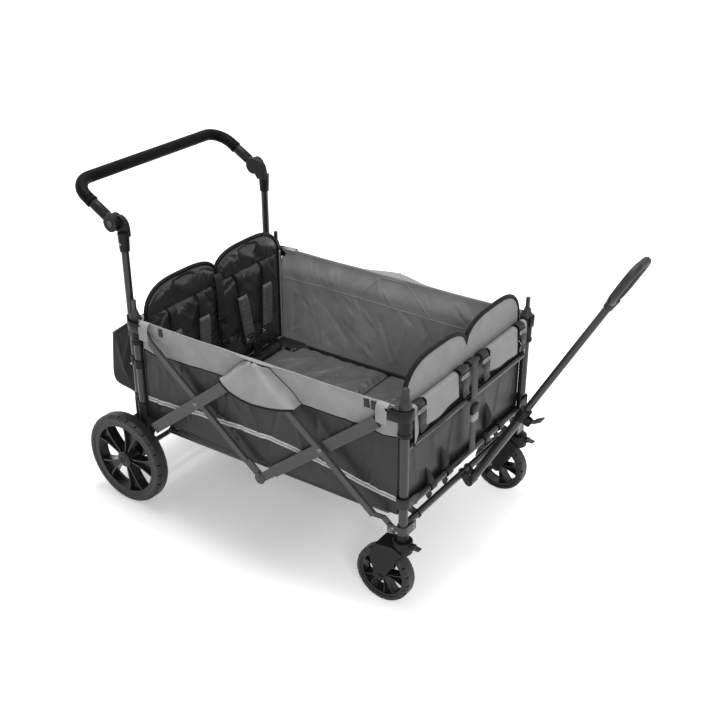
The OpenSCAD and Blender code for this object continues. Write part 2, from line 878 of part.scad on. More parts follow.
module rear_rising_bars() {
  color("gray") both_sides() rising() scissor_bar(wide_bar_w, outer_y, false, cross_pin_r + pin_gap);
}

module rear_falling_bars() {
  color("gray") both_sides() falling() scissor_bar(narrow_bar_w, inner_y, false, cross_pin_r);
}

module front_falling_bars() {
  color("gray") both_sides() at_front() rising() scissor_bar(narrow_bar_w, outer_y, true, cross_pin_r);
}

module front_rising_bars() {
  color("gray") both_sides() at_front() falling()
    scissor_bar(wide_bar_w, inner_y, true, cross_pin_r + pin_gap);
}

// Rivets: a shank with a head at each end, along +Y
module rivet(x, z, y0, y1, r) {
  pin(x, y0 - head_t, z, y1 - y0 + 2 * head_t, r);
  pin(x, y0 - head_t, z, head_t, head_r);
  translate([x, y1, z]) rotate([-90, 0, 0]) cylinder(h = head_t, r1 = head_r, r2 = small_head_r);
}

module low_rivet() {
  rivet(pivot_inset, pivot_low_z, lug_in_y, post_out_y + plate_t + slide_gap, pin_r);
}

// Cross rivet with gaps where it turns: in the inner bar, the outer bar, or neither
module cross_rivet(in_gap, out_gap) {
  cross_x = pivot_inset + half_span / 2;
  cross_z = pivot_low_z + pivot_rise / 2;
  head_y = inner_y + bar_t - bar_wall - in_gap - head_t;
  sleeve_y = inner_y + bar_t + in_gap;
  far_y = outer_y + bar_t + out_gap;
  pin(cross_x, head_y, cross_z, head_t, small_head_r);
  pin(cross_x, head_y, cross_z, far_y - head_y, cross_pin_r);
  pin(cross_x, sleeve_y, cross_z, outer_y + bar_t - bar_wall - out_gap - sleeve_y, spacer_r);
  translate([cross_x, far_y, cross_z]) rotate([-90, 0, 0])
    cylinder(h = head_t, r1 = head_r, r2 = small_head_r);
}

module rear_rising_rivets() {
  color("silver") both_sides() union() {
    low_rivet();
    rivet(mid_x, pivot_top_z, outer_y, outer_y + bar_t + slide_gap, pin_r);
  }
}

module rear_falling_rivets() {
  color("silver") both_sides() union() {
    cross_rivet(0, slide_gap);
    rivet(mid_x, pivot_low_z, inner_y, inner_y + bar_t + slide_gap, pin_r);
  }
}

module front_falling_rivets() {
  color("silver") both_sides() at_front() union() {
    low_rivet();
    cross_rivet(slide_gap, 0);
  }
}

// Top corner brackets that slide on the posts, with the scissor pivots
module top_bracket(guided) {
  bore_h = post_top_z + slide_gap - collar_low_z;
  difference() {
    union() {
      translate([0, py, collar_low_z]) cylinder(h = bracket_top_z - collar_low_z, r = collar_r);
      translate([0, py, collar_low_z]) cylinder(h = lip_h, r = collar_r + lip_t);
      translate([0, py, bracket_top_z]) cylinder(h = lip_h, r1 = collar_r, r2 = peg_r + 2 * lip_t);
      translate([0, post_out_y, pivot_top_z - arm_half]) cube([pivot_inset, arm_t, 2 * arm_half]);
      pin(pivot_inset, post_out_y, pivot_top_z, arm_t, arm_half);
      pin(pivot_inset, lug_in_y - head_t, pivot_top_z, lug_t + head_t + 2 * face_gap, pin_r - pin_gap);
      pin(pivot_inset, lug_in_y - head_t - slide_gap, pivot_top_z, head_t, head_r);
      if (guided) {
        translate([upright_x, uy, bracket_top_z - guide_h]) cylinder(h = guide_h, r = guide_r);
        translate([0, 0, bracket_top_z - guide_h]) linear_extrude(height = guide_h)
          web_2d([0, py], [upright_x, uy], upright_r * 0.7);
      }
    }
    translate([0, py, collar_low_z - eps]) cylinder(h = bore_h + eps, r = post_r + slide_gap);
    translate([0, py, collar_low_z]) cylinder(h = bracket_top_z - collar_low_z, r = rod_r);
    translate([0, py, bracket_top_z - eps]) cylinder(h = peg_top_z, r = peg_r + peg_step);
    if (guided) {
      translate([upright_x, uy, bracket_top_z - guide_h - eps]) cylinder(h = guide_h + 2 * eps,
        r = upright_r + slide_gap);
    }
  }
}

module slide_rods() {
  both_sides() difference() {
    union() {
      translate([0, py, rod_low_z]) cylinder(h = bracket_top_z - rod_low_z, r = rod_r);
      translate([0, py, bracket_top_z]) cylinder(h = lip_h, r = peg_r + peg_step);
      translate([0, py, bracket_top_z]) cylinder(h = peg_top_z - bracket_top_z - rib_t, r = peg_r);
      translate([0, py, peg_top_z - rib_t]) cylinder(h = rib_t, r1 = peg_r, r2 = peg_r - rib_t / 2);
    }
    translate([0, py, rod_low_z - eps]) cylinder(h = post_top_z - rod_low_z - post_d, r = rod_r - tube_wall);
  }
}

module top_bar() {
  difference() {
    rod([0, -py, top_bar_z], [0, py, top_bar_z], bar_r);
    rod([0, -py - eps, top_bar_z], [0, py + eps, top_bar_z], bar_r - tube_wall);
    both_sides() translate([0, py, top_bar_z - post_d]) cylinder(h = 2 * post_d, r = collar_r);
  }
}

module rear_top_brackets() {
  color("black") both_sides() top_bracket(true);
}

module rear_slide_rods() {
  color("silver") slide_rods();
}

module rear_top_bar() {
  color("dimgray") top_bar();
}

module front_top_brackets() {
  color("black") both_sides() at_front() top_bracket(false);
}

module front_slide_rods() {
  color("silver") at_front() slide_rods();
}

module front_top_bar() {
  color("dimgray") at_front() top_bar();
}

// Stamped plates round the front post feet
module front_corner_brackets() {
  flange_len = pivot_inset + flange_half;
  plate_r = post_r + plate_t;
  color("dimgray") both_sides() at_front() difference() {
    translate([0, py, pivot_low_z - flange_half]) linear_extrude(height = 2 * flange_half) difference() {
      union() {
        circle(r = plate_r);
        translate([0, post_r]) square([flange_len, plate_t]);
        translate([-plate_r, -flange_len]) square([plate_t, flange_len]);
      }
      circle(r = post_r);
      translate([0, -plate_r]) square([plate_r, plate_r]);
    }
    pin(pivot_inset, post_out_y - eps, pivot_low_z, plate_t + 2 * eps, pin_r + pin_gap);
    bar_end(bottom_bar_z);
  }
}

// Casters, written with the stem on the Z axis of the front left post
module caster_place() {
  translate([post_spacing, py, 0]) children();
}

module caster_sockets() {
  plug_h = stem_len - socket_gap + plate_t;
  color("black") both_sides() caster_place() difference() {
    union() {
      translate([0, 0, socket_low_z]) cylinder(h = socket_flange_t, r = post_r + sleeve_wall);
      translate([0, 0, socket_low_z]) cylinder(h = plug_h, r = post_r - tube_wall);
    }
    translate([0, 0, socket_low_z - eps]) cylinder(h = stem_len - socket_gap + eps + stem_gap,
      r = stem_r + pin_gap);
  }
}

module caster_fork() {
  leg_top = swivel_low_z + leg_rise;
  wheel_room = caster_r + fork_gap;
  difference() {
    union() {
      translate([0, 0, swivel_low_z]) cylinder(h = swivel_top_z - swivel_low_z - rib_t, r = swivel_r);
      translate([0, 0, swivel_top_z - rib_t]) cylinder(h = rib_t, r1 = swivel_r, r2 = swivel_r - rib_t);
      translate([0, fork_half, 0]) rotate([90, 0, 0]) linear_extrude(height = 2 * fork_half) union() {
        polygon([
          [-caster_trail - caster_axle_r * 2.6, caster_r],
          [-caster_trail - caster_r * 0.42, caster_d * 0.84],
          [-caster_trail - caster_r * 0.2, leg_top + 2 * plate_t],
          [-swivel_r * 0.5, leg_top + 4 * plate_t],
          [swivel_r * 0.5, leg_top],
          [swivel_r * 0.3, swivel_low_z],
          [-caster_trail + caster_axle_r * 2.6, caster_r]
        ]);
        translate([-caster_trail, caster_r]) circle(r = caster_axle_r * 2.6);
      }
      translate([0, 0, swivel_top_z - eps]) cylinder(h = stem_len + eps, r = stem_r);
      for (side = [-1, 1]) {
        translate([swivel_r - plate_t, side * (lock_half + slide_gap + lock_ear_t / 2) - lock_ear_t / 2,
          lock_z - lock_r]) cube([lock_x - swivel_r + plate_t + lock_r, lock_ear_t, 2 * lock_r]);
      }
      pin(lock_x, -lock_half - lock_ear_t, lock_z, 2 * (lock_half + lock_ear_t), lock_pin_r);
    }
    // Room for the wheel
    pin(-caster_trail, -caster_w / 2 - fork_gap, caster_r, caster_w + 2 * fork_gap, wheel_room);
    pin(-caster_trail, -fork_half - eps, caster_r, 2 * (fork_half + eps), caster_axle_r);
  }
  // Axle bolt
  pin(-caster_trail, -fork_half, caster_r, 2 * fork_half, caster_axle_r);
  for (side = [-1, 1]) {
    pin(-caster_trail, side * (fork_half + head_t / 2) - head_t / 2, caster_r, head_t, head_r);
  }
}

module caster_lock() {
  difference() {
    union() {
      pin(lock_x, -lock_half, lock_z, 2 * lock_half, lock_r);
      translate([lock_x, lock_half, lock_z]) rotate([90, 0, 0]) linear_extrude(height = 2 * lock_half)
        polygon([[0, lock_r], [lock_len, lock_r * 0.3], [lock_len, -lock_r * 0.4], [0, -lock_r]]);
    }
    pin(lock_x, -lock_half - eps, lock_z, 2 * (lock_half + eps), lock_pin_r + pin_gap);
  }
}

module caster_wheel_place() {
  caster_place() translate([-caster_trail, 0, caster_r]) rotate([-90, 0, 0]) children();
}

module caster_fork_left() {
  color("black") caster_place() caster_fork();
}

module caster_fork_right() {
  color("black") right_side() caster_place() caster_fork();
}

module caster_lock_left() {
  color("gray") caster_place() caster_lock();
}

module caster_lock_right() {
  color("gray") right_side() caster_place() caster_lock();
}

module caster_tyre_left() {
  color("black") caster_wheel_place() tyre(caster_r, caster_w, caster_blocks);
}

module caster_tyre_right() {
  color("black") right_side() caster_wheel_place() tyre(caster_r, caster_w, caster_blocks);
}

module caster_rim_left() {
  color("dimgray") caster_wheel_place() spoked_rim(caster_r, caster_w * 0.9, caster_axle_r + pin_gap, false);
}

module caster_rim_right() {
  color("dimgray") right_side() caster_wheel_place()
    spoked_rim(caster_r, caster_w * 0.9, caster_axle_r + pin_gap, false);
}

// Pull handle, written along +Z from its pivot with +X to the outer side
module pull_place() {
  translate([pull_x, 0, pull_z]) rotate([0, 90 - pull_lean, 0]) children();
}

module pull_bracket() {
  plate_y = pull_r + face_gap;
  color("dimgray") both_sides() difference() {
    union() {
      translate([0, plate_y + clevis_t, 0]) rotate([90, 0, 0]) linear_extrude(height = clevis_t) union() {
        translate([pull_x, pull_z]) circle(r = clevis_r);
        translate([post_spacing, bottom_bar_z]) circle(r = bar_r + clevis_t);
        web_2d([post_spacing, bottom_bar_z], [pull_x, pull_z], clevis_r);
      }
      pin(pull_x, 0, pull_z, plate_y + clevis_t + head_t, pin_r);
      pin(pull_x, plate_y + clevis_t, pull_z, head_t, head_r);
    }
    rod([post_spacing, 0, bottom_bar_z], [post_spacing, py, bottom_bar_z], bar_r);
  }
}

module pull_outer_tube() {
  color("dimgray") pull_place() difference() {
    union() {
      translate([0, 0, pull_eye_end * 0.5]) cylinder(h = pull_outer_len - pull_eye_end * 0.5, r = pull_r);
      pin(0, -pull_r, 0, 2 * pull_r, clevis_r);
    }
    translate([0, 0, pull_plug]) cylinder(h = pull_outer_len, r = pull_bore_r);
    pin(0, -pull_r - eps, 0, 2 * (pull_r + eps), pin_r + pin_gap);
  }
}

module pull_clamp() {
  color("black") pull_place() difference() {
    union() {
      translate([0, 0, clamp_low]) cylinder(h = clamp_top - clamp_low - rib_t, r = pull_r + clamp_wall);
      translate([0, 0, clamp_top - rib_t]) cylinder(h = rib_t, r1 = pull_r + clamp_wall,
        r2 = pull_r + clamp_wall - rib_t);
      for (side = [-1, 1]) {
        translate([0, side * (lever_half + slide_gap + lever_ear_t / 2) - lever_ear_t / 2, clamp_low])
          cube([lever_out, lever_ear_t, 2 * (lever_z - clamp_low)]);
        pin(lever_out, side * (lever_half + slide_gap + lever_ear_t / 2) - lever_ear_t / 2, lever_z,
          lever_ear_t, lever_z - clamp_low);
      }
      pin(lever_out, -lever_half - lever_ear_t, lever_z, 2 * (lever_half + lever_ear_t), lever_pin_r);
    }
    translate([0, 0, clamp_low - eps]) cylinder(h = pull_outer_len - clamp_low + eps, r = pull_r);
    translate([0, 0, clamp_low]) cylinder(h = clamp_top, r = pull_inner_r + slide_gap);
  }
}

module pull_lever() {
  color("gray") pull_place() translate([lever_out, 0, lever_z]) rotate([0, lever_flare, 0]) difference() {
    union() {
      pin(0, -lever_half, 0, 2 * lever_half, lever_cam_r - rib_t);
      translate([0, -lever_half, 0]) cube([lever_t, 2 * lever_half, lever_len * 0.5]);
      translate([0, -lever_w / 2, lever_len * 0.45]) cube([lever_t, lever_w, lever_len * 0.55]);
      pin(lever_t / 2, -lever_w / 2, lever_len, lever_w, lever_t / 2);
    }
    pin(0, -lever_half - eps, 0, 2 * (lever_half + eps), lever_pin_r + pin_gap);
  }
}

module pull_inner_tube() {
  from = pull_outer_len - pull_tuck;
  to = loop_neck_z + loop_neck_len - plate_t;
  color("silver") pull_place() difference() {
    translate([0, 0, from]) cylinder(h = to - from, r = pull_inner_r);
    translate([0, 0, from - eps]) cylinder(h = to - from - plate_t, r = pull_inner_r - pull_inner_wall);
  }
}

// The loop lies in the YZ plane: a half ring at the neck, two sides and a far bar
module loop_tube(r) {
  half = loop_w / 2;
  bar_half = half - loop_turn_r;
  side_end = pull_len - loop_turn_r;
  translate([0, 0, loop_low_z]) rotate([0, 90, 0]) {
    quarter_bend(half, r, -90);
    quarter_bend(half, r, 0);
  }
  for (side = [-1, 1]) {
    translate([0, side * half, loop_low_z]) cylinder(h = side_end - loop_low_z, r = r);
  }
  translate([0, bar_half, side_end]) rotate([0, 90, 0]) quarter_bend(loop_turn_r, r, 90);
  translate([0, -bar_half, side_end]) rotate([0, 90, 0]) quarter_bend(loop_turn_r, r, 180);
  translate([0, -bar_half, pull_len]) rotate([-90, 0, 0]) cylinder(h = 2 * bar_half, r = r);
}

module pull_grip() {
  color("black") pull_place() difference() {
    union() {
      translate([0, 0, loop_neck_z])
        cylinder(h = loop_neck_len, r1 = pull_inner_r + rib_t, r2 = pull_r + rib_t);
      loop_tube(loop_r);
    }
    translate([0, 0, loop_neck_z - eps]) cylinder(h = loop_neck_len - plate_t + eps, r = pull_inner_r);
  }
}

// Floor halves, each hinged to its end frame
module floor_rails(track) {
  lug_y = track / 2 - rail_r - floor_lug_t - lug_gap;
  rail_end = mid_x - rail_end_gap;
  both_sides() union() {
    difference() {
      rod([floor_inset, track / 2, rail_z], [rail_end, track / 2, rail_z], rail_r);
      rod([floor_inset + end_fill, track / 2, rail_z], [rail_end - end_fill, track / 2, rail_z],
        rail_r - tube_wall);
    }
    difference() {
      union() {
        pin(floor_inset, lug_y, floor_hinge_z, floor_lug_t, floor_lug_r);
        translate([floor_inset - floor_lug_r, lug_y, rail_z - rail_r])
          cube([2 * floor_lug_r, floor_lug_t, floor_hinge_z - rail_z + rail_r]);
      }
      pin(floor_inset, lug_y - eps, floor_hinge_z, floor_lug_t + 2 * eps, floor_pin_r + pin_gap);
      rod([floor_inset - eps, track / 2, rail_z], [rail_end, track / 2, rail_z], rail_r);
    }
  }
}

module floor_pad(track) {
  nu = 14;
  nv = 12;
  from = floor_inset - pad_back;
  run = mid_x - pad_end_gap - from;
  // Narrow between the hinge lugs, then wide over the rails
  neck_half = track / 2 - rail_r - 2 * floor_lug_t - pad_side_gap;
  half_at = [for (i = [0 : nu]) i < 2 ? neck_half : pad_half_w];
  low = [for (i = [0 : nu]) for (j = [0 : nv])
    [from + run * i / nu, half_at[i] * (2 * j / nv - 1), pad_low_z]];
  top = [for (i = [0 : nu]) for (j = [0 : nv])
    let (u = i / nu)
    let (v = 2 * j / nv - 1)
    let (crown = pow(1 - pow(abs(2 * u - 1), 6), 0.5) * pow(1 - pow(abs(v), 8), 0.5))
    let (seam = (i == 5 || i == 10 || j == 6) ? pad_channel * crown : 0)
    [from + (run + pad_bevel) * u, half_at[i] * v * (0.985 + 0.015 * crown),
      pad_low_z + pad_edge_t + (pad_top_z - pad_low_z - pad_edge_t) * crown - seam]];
  slab(top, low, nu, nv);
}

module floor_rails_rear() {
  color("dimgray") floor_rails(rear_rail_track);
}

module floor_rails_front() {
  color("dimgray") at_front() floor_rails(front_rail_track);
}

module floor_pad_rear() {
  color("darkslategray") floor_pad(rear_rail_track);
}

module floor_pad_front() {
  color("darkslategray") at_front() floor_pad(front_rail_track);
}

// Seat back with two lobes, a sewn channel across and a crown on the sitting side
module seat_back() {
  nu = 24;
  nv = 12;
  back = [for (i = [0 : nu]) for (j = [0 : nv]) [seat_x, seat_y(i, nu), seat_z(i, nu, j / nv)]];
  front = [for (i = [0 : nu]) for (j = [0 : nv])
    let (v = j / nv)
    let (crown = pow(1 - pow(abs(lobe_q(i, nu)), 4), 0.5) * pow(1 - pow(abs(2 * v - 1), 6), 0.5))
    let (seam = (j == 3 || j == 9) ? seat_channel * crown : 0)
    [seat_x + seat_edge_t + (seat_t - seat_edge_t) * crown - seam, seat_y(i, nu), seat_z(i, nu, v)]];
  slab(front, back, nu, nv);
}

function lobe_side(i, nu) = i < nu / 2 ? -1 : 1;

function lobe_q(i, nu) = -cos(360 / nu * (i - (i < nu / 2 ? 0 : nu / 2)));

function seat_y(i, nu) = (lobe_side(i, nu) + lobe_q(i, nu)) * seat_w / 4;

function seat_z(i, nu, v) =
  let (q = lobe_q(i, nu))
  let (base = lobe_side(i, nu) * q < 0 ? seat_dip_z : seat_side_z)
  let (top = base + (seat_peak_z - base) * pow(1 - pow(abs(q), 4), 0.45))
  seat_low_z + (top - seat_low_z) * v;

module rear_seat_back() {
  color("black") seat_back();
}

module front_seat_back() {
  color("black") at_front() seat_back();
}

// End panel of the tub, with the flaps and webbing loops that fold over the top bar
module over_bar(y, w, drop, tuck) {
  in_r = bar_r + slide_gap;
  out_r = in_r + flap_t;
  translate([0, y + w / 2, top_bar_z]) rotate([90, 0, 0]) linear_extrude(height = w) union() {
    difference() {
      circle(r = out_r);
      circle(r = in_r);
      translate([-out_r, -2 * out_r]) square([2 * out_r, 2 * out_r]);
    }
    translate([-out_r, -drop]) square([flap_t, drop]);
    translate([in_r, -tuck]) square([flap_t, tuck]);
  }
}

module end_panel() {
  nu = 14;
  nv = 6;
  near = [for (i = [0 : nu]) for (j = [0 : nv])
    [panel_x + panel_mid_t + panel_wave * cos(90 * i) * (1 - j / nv), panel_half_w * (2 * i / nu - 1),
      panel_low_z + (panel_top_z - panel_low_z) * j / nv]];
  far = [for (p = near) p - [2 * panel_mid_t, 0, 0]];
  slab(near, far, nu, nv);
  both_sides() union() {
    over_bar(flap_w, flap_w, flap_drop, flap_tuck);
    over_bar(flap_w * 0.35, web_w, web_drop, flap_tuck);
    over_bar(flap_w * 1.65, web_w, web_drop, flap_tuck);
  }
}

module rear_panel() {
  color("lightgray") end_panel();
}

module front_panel() {
  color("lightgray") at_front() end_panel();
}

// Harness for the two seats of one bench
module shoulder_pad(y) {
  n = 5;
  base = [for (i = [0 : n]) for (j = [0 : n])
    [strap_x + strap_t + pad_gap, y + pad_w * (i / n - 0.5), strap_top_z - pad_lap - pad_len * (1 - j / n)]];
  face = [for (i = [0 : n]) for (j = [0 : n])
    let (crown = pow(1 - pow(abs(2 * i / n - 1), 4), 0.5) * pow(1 - pow(abs(2 * j / n - 1), 6), 0.5))
    [strap_x + strap_t + pad_gap + pad_t * (0.4 + 0.6 * crown), y + pad_w * (i / n - 0.5),
      strap_top_z - pad_lap - pad_len * (1 - j / n)]];
  slab(face, base, n, n);
}

module harness() {
  for (seat = [-1, 1]) {
    for (side = [-1, 1]) {
      translate([strap_x, seat * seat_w / 4 + side * strap_spread - strap_w / 2, strap_low_z])
        cube([strap_t, strap_w, strap_top_z - strap_low_z]);
      shoulder_pad(seat * seat_w / 4 + side * strap_spread);
    }
    translate([buckle_x, seat * seat_w / 4 - buckle_w / 2, strap_low_z]) difference() {
      cube([buckle_t, buckle_w, buckle_h]);
      translate([buckle_t - rib_t, buckle_w * 0.25, buckle_h * 0.3])
        cube([rib_t + eps, buckle_w * 0.5, buckle_h * 0.4]);
    }
    translate([buckle_x, seat * seat_w / 4 - strap_w / 2, seat_low_z + plate_t])
      cube([strap_t, strap_w, strap_low_z - seat_low_z - plate_t - slide_gap]);
  }
}

module rear_harness() {
  color("dimgray") harness();
}

module front_harness() {
  color("dimgray") at_front() harness();
}

// Side cloth with hanging folds, and the flap that covers the top hub
module side_cloth() {
  nu = 24;
  nv = 8;
  run = post_spacing - 2 * cloth_x;
  outer = [for (i = [0 : nu]) for (j = [0 : nv])
    let (u = i / nu)
    let (v = j / nv)
    let (hang = fold_depth * sin(180 * u) * sin(180 * v) * (0.6 + 0.4 * sin(360 * (5 * u + 0.35 * v))))
    [cloth_x + run * u, -cloth_y - cloth_t - hang, cloth_low_z + (cloth_top_z - cloth_low_z) * v
      - fold_depth * sin(180 * u) * v]];
  inner = [for (p = outer) p + [0, cloth_t, 0]];
  slab(outer, inner, nu, nv);
}

module hub_flap() {
  nu = 10;
  nv = 6;
  out_y = outer_y + bar_t + slide_gap + head_t + flap_room;
  outer = [for (i = [0 : nu]) for (j = [0 : nv])
    let (u = sin(180 * i / nu - 90))
    let (v = sin(90 * j / nv))
    let (low = hub_flap_low_z + hub_flap_lift * u * u)
    let (z = low + (cloth_top_z - low) * v)
    let (hang = fold_depth * sin(180 * (z - cloth_low_z) / (cloth_top_z - cloth_low_z)))
    let (in_y = cloth_y + cloth_t + seat_gap + hang)
    let (puff = ease((1 - abs(u)) / flap_side_share) * ease((1 - v) / flap_top_share))
    [mid_x + hub_flap_half * u, -in_y - (out_y - in_y) * puff - cloth_t, z]];
  inner = [for (p = outer) p + [0, cloth_t, 0]];
  slab(outer, inner, nu, nv);
}

module side_cloths() {
  color("gainsboro") both_sides() union() {
    side_cloth();
    hub_flap();
  }
}

// Storage basket hung behind the uprights, open at the top
function basket_outline(inset, over) = [
  [basket_front_x - inset, basket_low_z + inset],
  [basket_front_x - basket_depth * 0.9, basket_low_z + basket_lift * 0.7 + inset],
  [basket_front_x - basket_depth + inset, basket_low_z + basket_lift * 1.6],
  [basket_front_x - basket_depth + basket_waist + inset, basket_low_z + (basket_top_z - basket_low_z) * 0.45],
  [basket_front_x - basket_depth * 0.86 + inset, basket_top_z - basket_drop + over],
  [basket_front_x - inset, basket_top_z + over]
];

// A webbing loop from a front corner of the basket round its upright
module basket_loop(z) {
  loop_in_r = upright_r + seat_gap;
  translate([0, 0, z]) linear_extrude(height = web_w) difference() {
    union() {
      translate([upright_x, uy]) circle(r = loop_in_r + cloth_t);
      web_2d([upright_x, uy], [basket_front_x - cloth_t / 2, basket_half_w - 2 * cloth_t], cloth_t / 2);
    }
    translate([upright_x, uy]) circle(r = loop_in_r);
  }
}

module storage_basket() {
  inner_half = basket_half_w - cloth_t;
  color("black") difference() {
    union() {
      translate([0, basket_half_w, 0]) rotate([90, 0, 0]) linear_extrude(height = 2 * basket_half_w)
        polygon(basket_outline(0, 0));
      both_sides() basket_loop(basket_loop_low_z);
      both_sides() basket_loop(basket_loop_top_z);
    }
    translate([0, inner_half, 0]) rotate([90, 0, 0]) linear_extrude(height = 2 * inner_half)
      polygon(basket_outline(cloth_t, basket_drop));
  }
}

placed() rear_posts();
placed() rear_crossbars();
placed() axle_housings();
placed() rear_axle();
placed() handle_uprights();
placed() handle_clamps();
placed() hinge_bases();
placed() storage_basket();
placed() handle_bar();
placed() handle_grip();
placed() hinge_caps();
placed() hinge_button_left();
placed() hinge_button_right();
placed() brake_pedal();
placed() rear_tyre_left();
placed() rear_rim_left();
placed() rear_tyre_right();
placed() rear_rim_right();
placed() rear_rising_bars();
placed() rear_rising_rivets();
placed() rear_falling_bars();
placed() rear_falling_rivets();
placed() front_falling_bars();
placed() front_falling_rivets();
placed() front_rising_bars();
placed() rear_top_brackets();
placed() rear_slide_rods();
placed() rear_top_bar();
placed() rear_seat_back();
placed() rear_panel();
placed() rear_harness();
placed() side_cloths();
placed() front_posts();
placed() front_crossbars();
placed() front_corner_brackets();
placed() caster_sockets();
placed() pull_bracket();
placed() front_top_brackets();
placed() front_slide_rods();
placed() front_top_bar();
placed() front_seat_back();
placed() front_panel();
placed() front_harness();
placed() caster_fork_left();
placed() caster_fork_right();
placed() caster_lock_left();
placed() caster_lock_right();
placed() caster_tyre_left();
placed() caster_tyre_right();
placed() caster_rim_left();
placed() caster_rim_right();
placed() pull_outer_tube();
placed() pull_clamp();
placed() pull_lever();
placed() pull_inner_tube();
placed() pull_grip();
placed() floor_rails_rear();
placed() floor_pad_rear();
placed() floor_rails_front();
placed() floor_pad_front();
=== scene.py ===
import math

import bmesh
import bpy
import numpy as np
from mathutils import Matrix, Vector


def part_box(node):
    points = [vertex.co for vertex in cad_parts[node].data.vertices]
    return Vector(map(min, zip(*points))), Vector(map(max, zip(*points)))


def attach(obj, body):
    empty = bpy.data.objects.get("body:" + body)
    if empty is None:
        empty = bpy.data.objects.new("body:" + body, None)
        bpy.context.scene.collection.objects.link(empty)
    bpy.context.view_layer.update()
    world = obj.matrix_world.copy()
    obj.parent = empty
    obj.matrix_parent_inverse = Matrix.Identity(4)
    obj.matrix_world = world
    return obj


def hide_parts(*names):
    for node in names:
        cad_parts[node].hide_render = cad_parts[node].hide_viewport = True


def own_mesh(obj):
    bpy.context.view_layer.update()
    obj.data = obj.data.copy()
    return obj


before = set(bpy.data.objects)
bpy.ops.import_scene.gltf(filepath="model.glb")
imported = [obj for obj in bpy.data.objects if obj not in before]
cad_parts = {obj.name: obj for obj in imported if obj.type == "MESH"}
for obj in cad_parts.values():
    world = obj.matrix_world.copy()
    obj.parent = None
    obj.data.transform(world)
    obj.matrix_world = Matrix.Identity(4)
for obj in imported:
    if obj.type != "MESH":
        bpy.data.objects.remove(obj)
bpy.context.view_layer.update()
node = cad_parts

# Studio: a wide pale floor, a white surround, a soft lamp over the wagon and a weaker one beside the camera.
# The camera stands off the front right corner and looks down.
scene = bpy.context.scene
scene.view_settings.view_transform = "Standard"
camera = bpy.data.objects.new("camera", bpy.data.cameras.new("camera"))
scene.collection.objects.link(camera)
camera.location = (1.6430, -2.4066, 2.0136)
camera.rotation_euler = (math.radians(62.5), 0, math.radians(34.5))
camera.data.sensor_width = 36
camera.data.lens = 57.29
scene.camera = camera


def shown(tree):
    """Whether a ray comes straight from the camera, from a reflection or through something clear."""
    rays = tree.nodes.new("ShaderNodeLightPath")
    seen = rays.outputs["Is Camera Ray"]
    for kind in ("Is Glossy Ray", "Is Transmission Ray"):
        either = tree.nodes.new("ShaderNodeMath")
        either.operation = "MAXIMUM"
        tree.links.new(seen, either.inputs[0])
        tree.links.new(rays.outputs[kind], either.inputs[1])
        seen = either.outputs[0]
    return seen


surround = bpy.data.worlds.new("white_surround")
scene.world = surround
surround.use_nodes = True
sky = surround.node_tree
glow = sky.nodes["Background"]
glow.inputs["Color"].default_value = (1, 1, 1, 1)
glow.inputs["Strength"].default_value = 0.42
white = sky.nodes.new("ShaderNodeBackground")
white.inputs["Color"].default_value = (1, 1, 1, 1)
white.inputs["Strength"].default_value = 1.0
both = sky.nodes.new("ShaderNodeMixShader")
sky.links.new(shown(sky), both.inputs["Fac"])
sky.links.new(glow.outputs[0], both.inputs[1])
sky.links.new(white.outputs[0], both.inputs[2])
sky.links.new(both.outputs[0], sky.nodes["World Output"].inputs["Surface"])


def lamp(name, place, aim, size, watts):
    light = bpy.data.lights.new(name, "AREA")
    light.size = size
    light.energy = watts
    held = bpy.data.objects.new(name, light)
    held.location = place
    held.rotation_euler = (Vector(aim) - Vector(place)).to_track_quat("-Z", "Y").to_euler()
    scene.collection.objects.link(held)


lamp("roof_lamp", (-0.5, 0.3, 4.8), (0, 0, 0.3), 1.7, 132)
lamp("camera_lamp", (3.3, -3.3, 2.9), (0.1, 0, 0.4), 1.1, 66)

floor_half = 45.0
ground = bpy.data.meshes.new("pale_floor")
ground.from_pydata([(-floor_half, -floor_half, 0), (floor_half, -floor_half, 0), (floor_half, floor_half, 0),
                    (-floor_half, floor_half, 0)], [], [(0, 1, 2, 3)])
pale_floor = bpy.data.objects.new("pale_floor", ground)
scene.collection.objects.link(pale_floor)
floor_paint = bpy.data.materials.new("floor_paint")
floor_paint.use_nodes = True
paint = floor_paint.node_tree
flat_paint = paint.nodes["Principled BSDF"]
flat_paint.inputs["Base Color"].default_value = (0.93, 0.93, 0.93, 1)
flat_paint.inputs["Roughness"].default_value = 0.9
flat_paint.inputs["Specular IOR Level"].default_value = 0.1
flat_paint.inputs["Emission Color"].default_value = (1, 1, 1, 1)
# The floor glows for camera, reflection and see-through rays, least at a point under the rear right of the
# wagon and more further away. This paints a pool of shade round the cast shadow there and lifts the rest of
# the floor to white.
painted_shade_distance = paint.nodes.new("ShaderNodeVectorMath")
painted_shade_distance.operation = "DISTANCE"
painted_shade_distance.inputs[1].default_value = (-0.3, -0.2, 0)
painted_shade_fade = paint.nodes.new("ShaderNodeMapRange")
for name, value in (("From Min", 0.2), ("From Max", 0.95), ("To Min", 0.25), ("To Max", 0.66)):
    painted_shade_fade.inputs[name].default_value = value
floor_lift = paint.nodes.new("ShaderNodeMath")
floor_lift.operation = "MULTIPLY"
paint.links.new(paint.nodes.new("ShaderNodeTexCoord").outputs["Object"], painted_shade_distance.inputs[0])
paint.links.new(painted_shade_distance.outputs["Value"], painted_shade_fade.inputs["Value"])
paint.links.new(shown(paint), floor_lift.inputs[0])
paint.links.new(painted_shade_fade.outputs["Result"], floor_lift.inputs[1])
paint.links.new(floor_lift.outputs[0], flat_paint.inputs["Emission Strength"])
ground.materials.append(floor_paint)


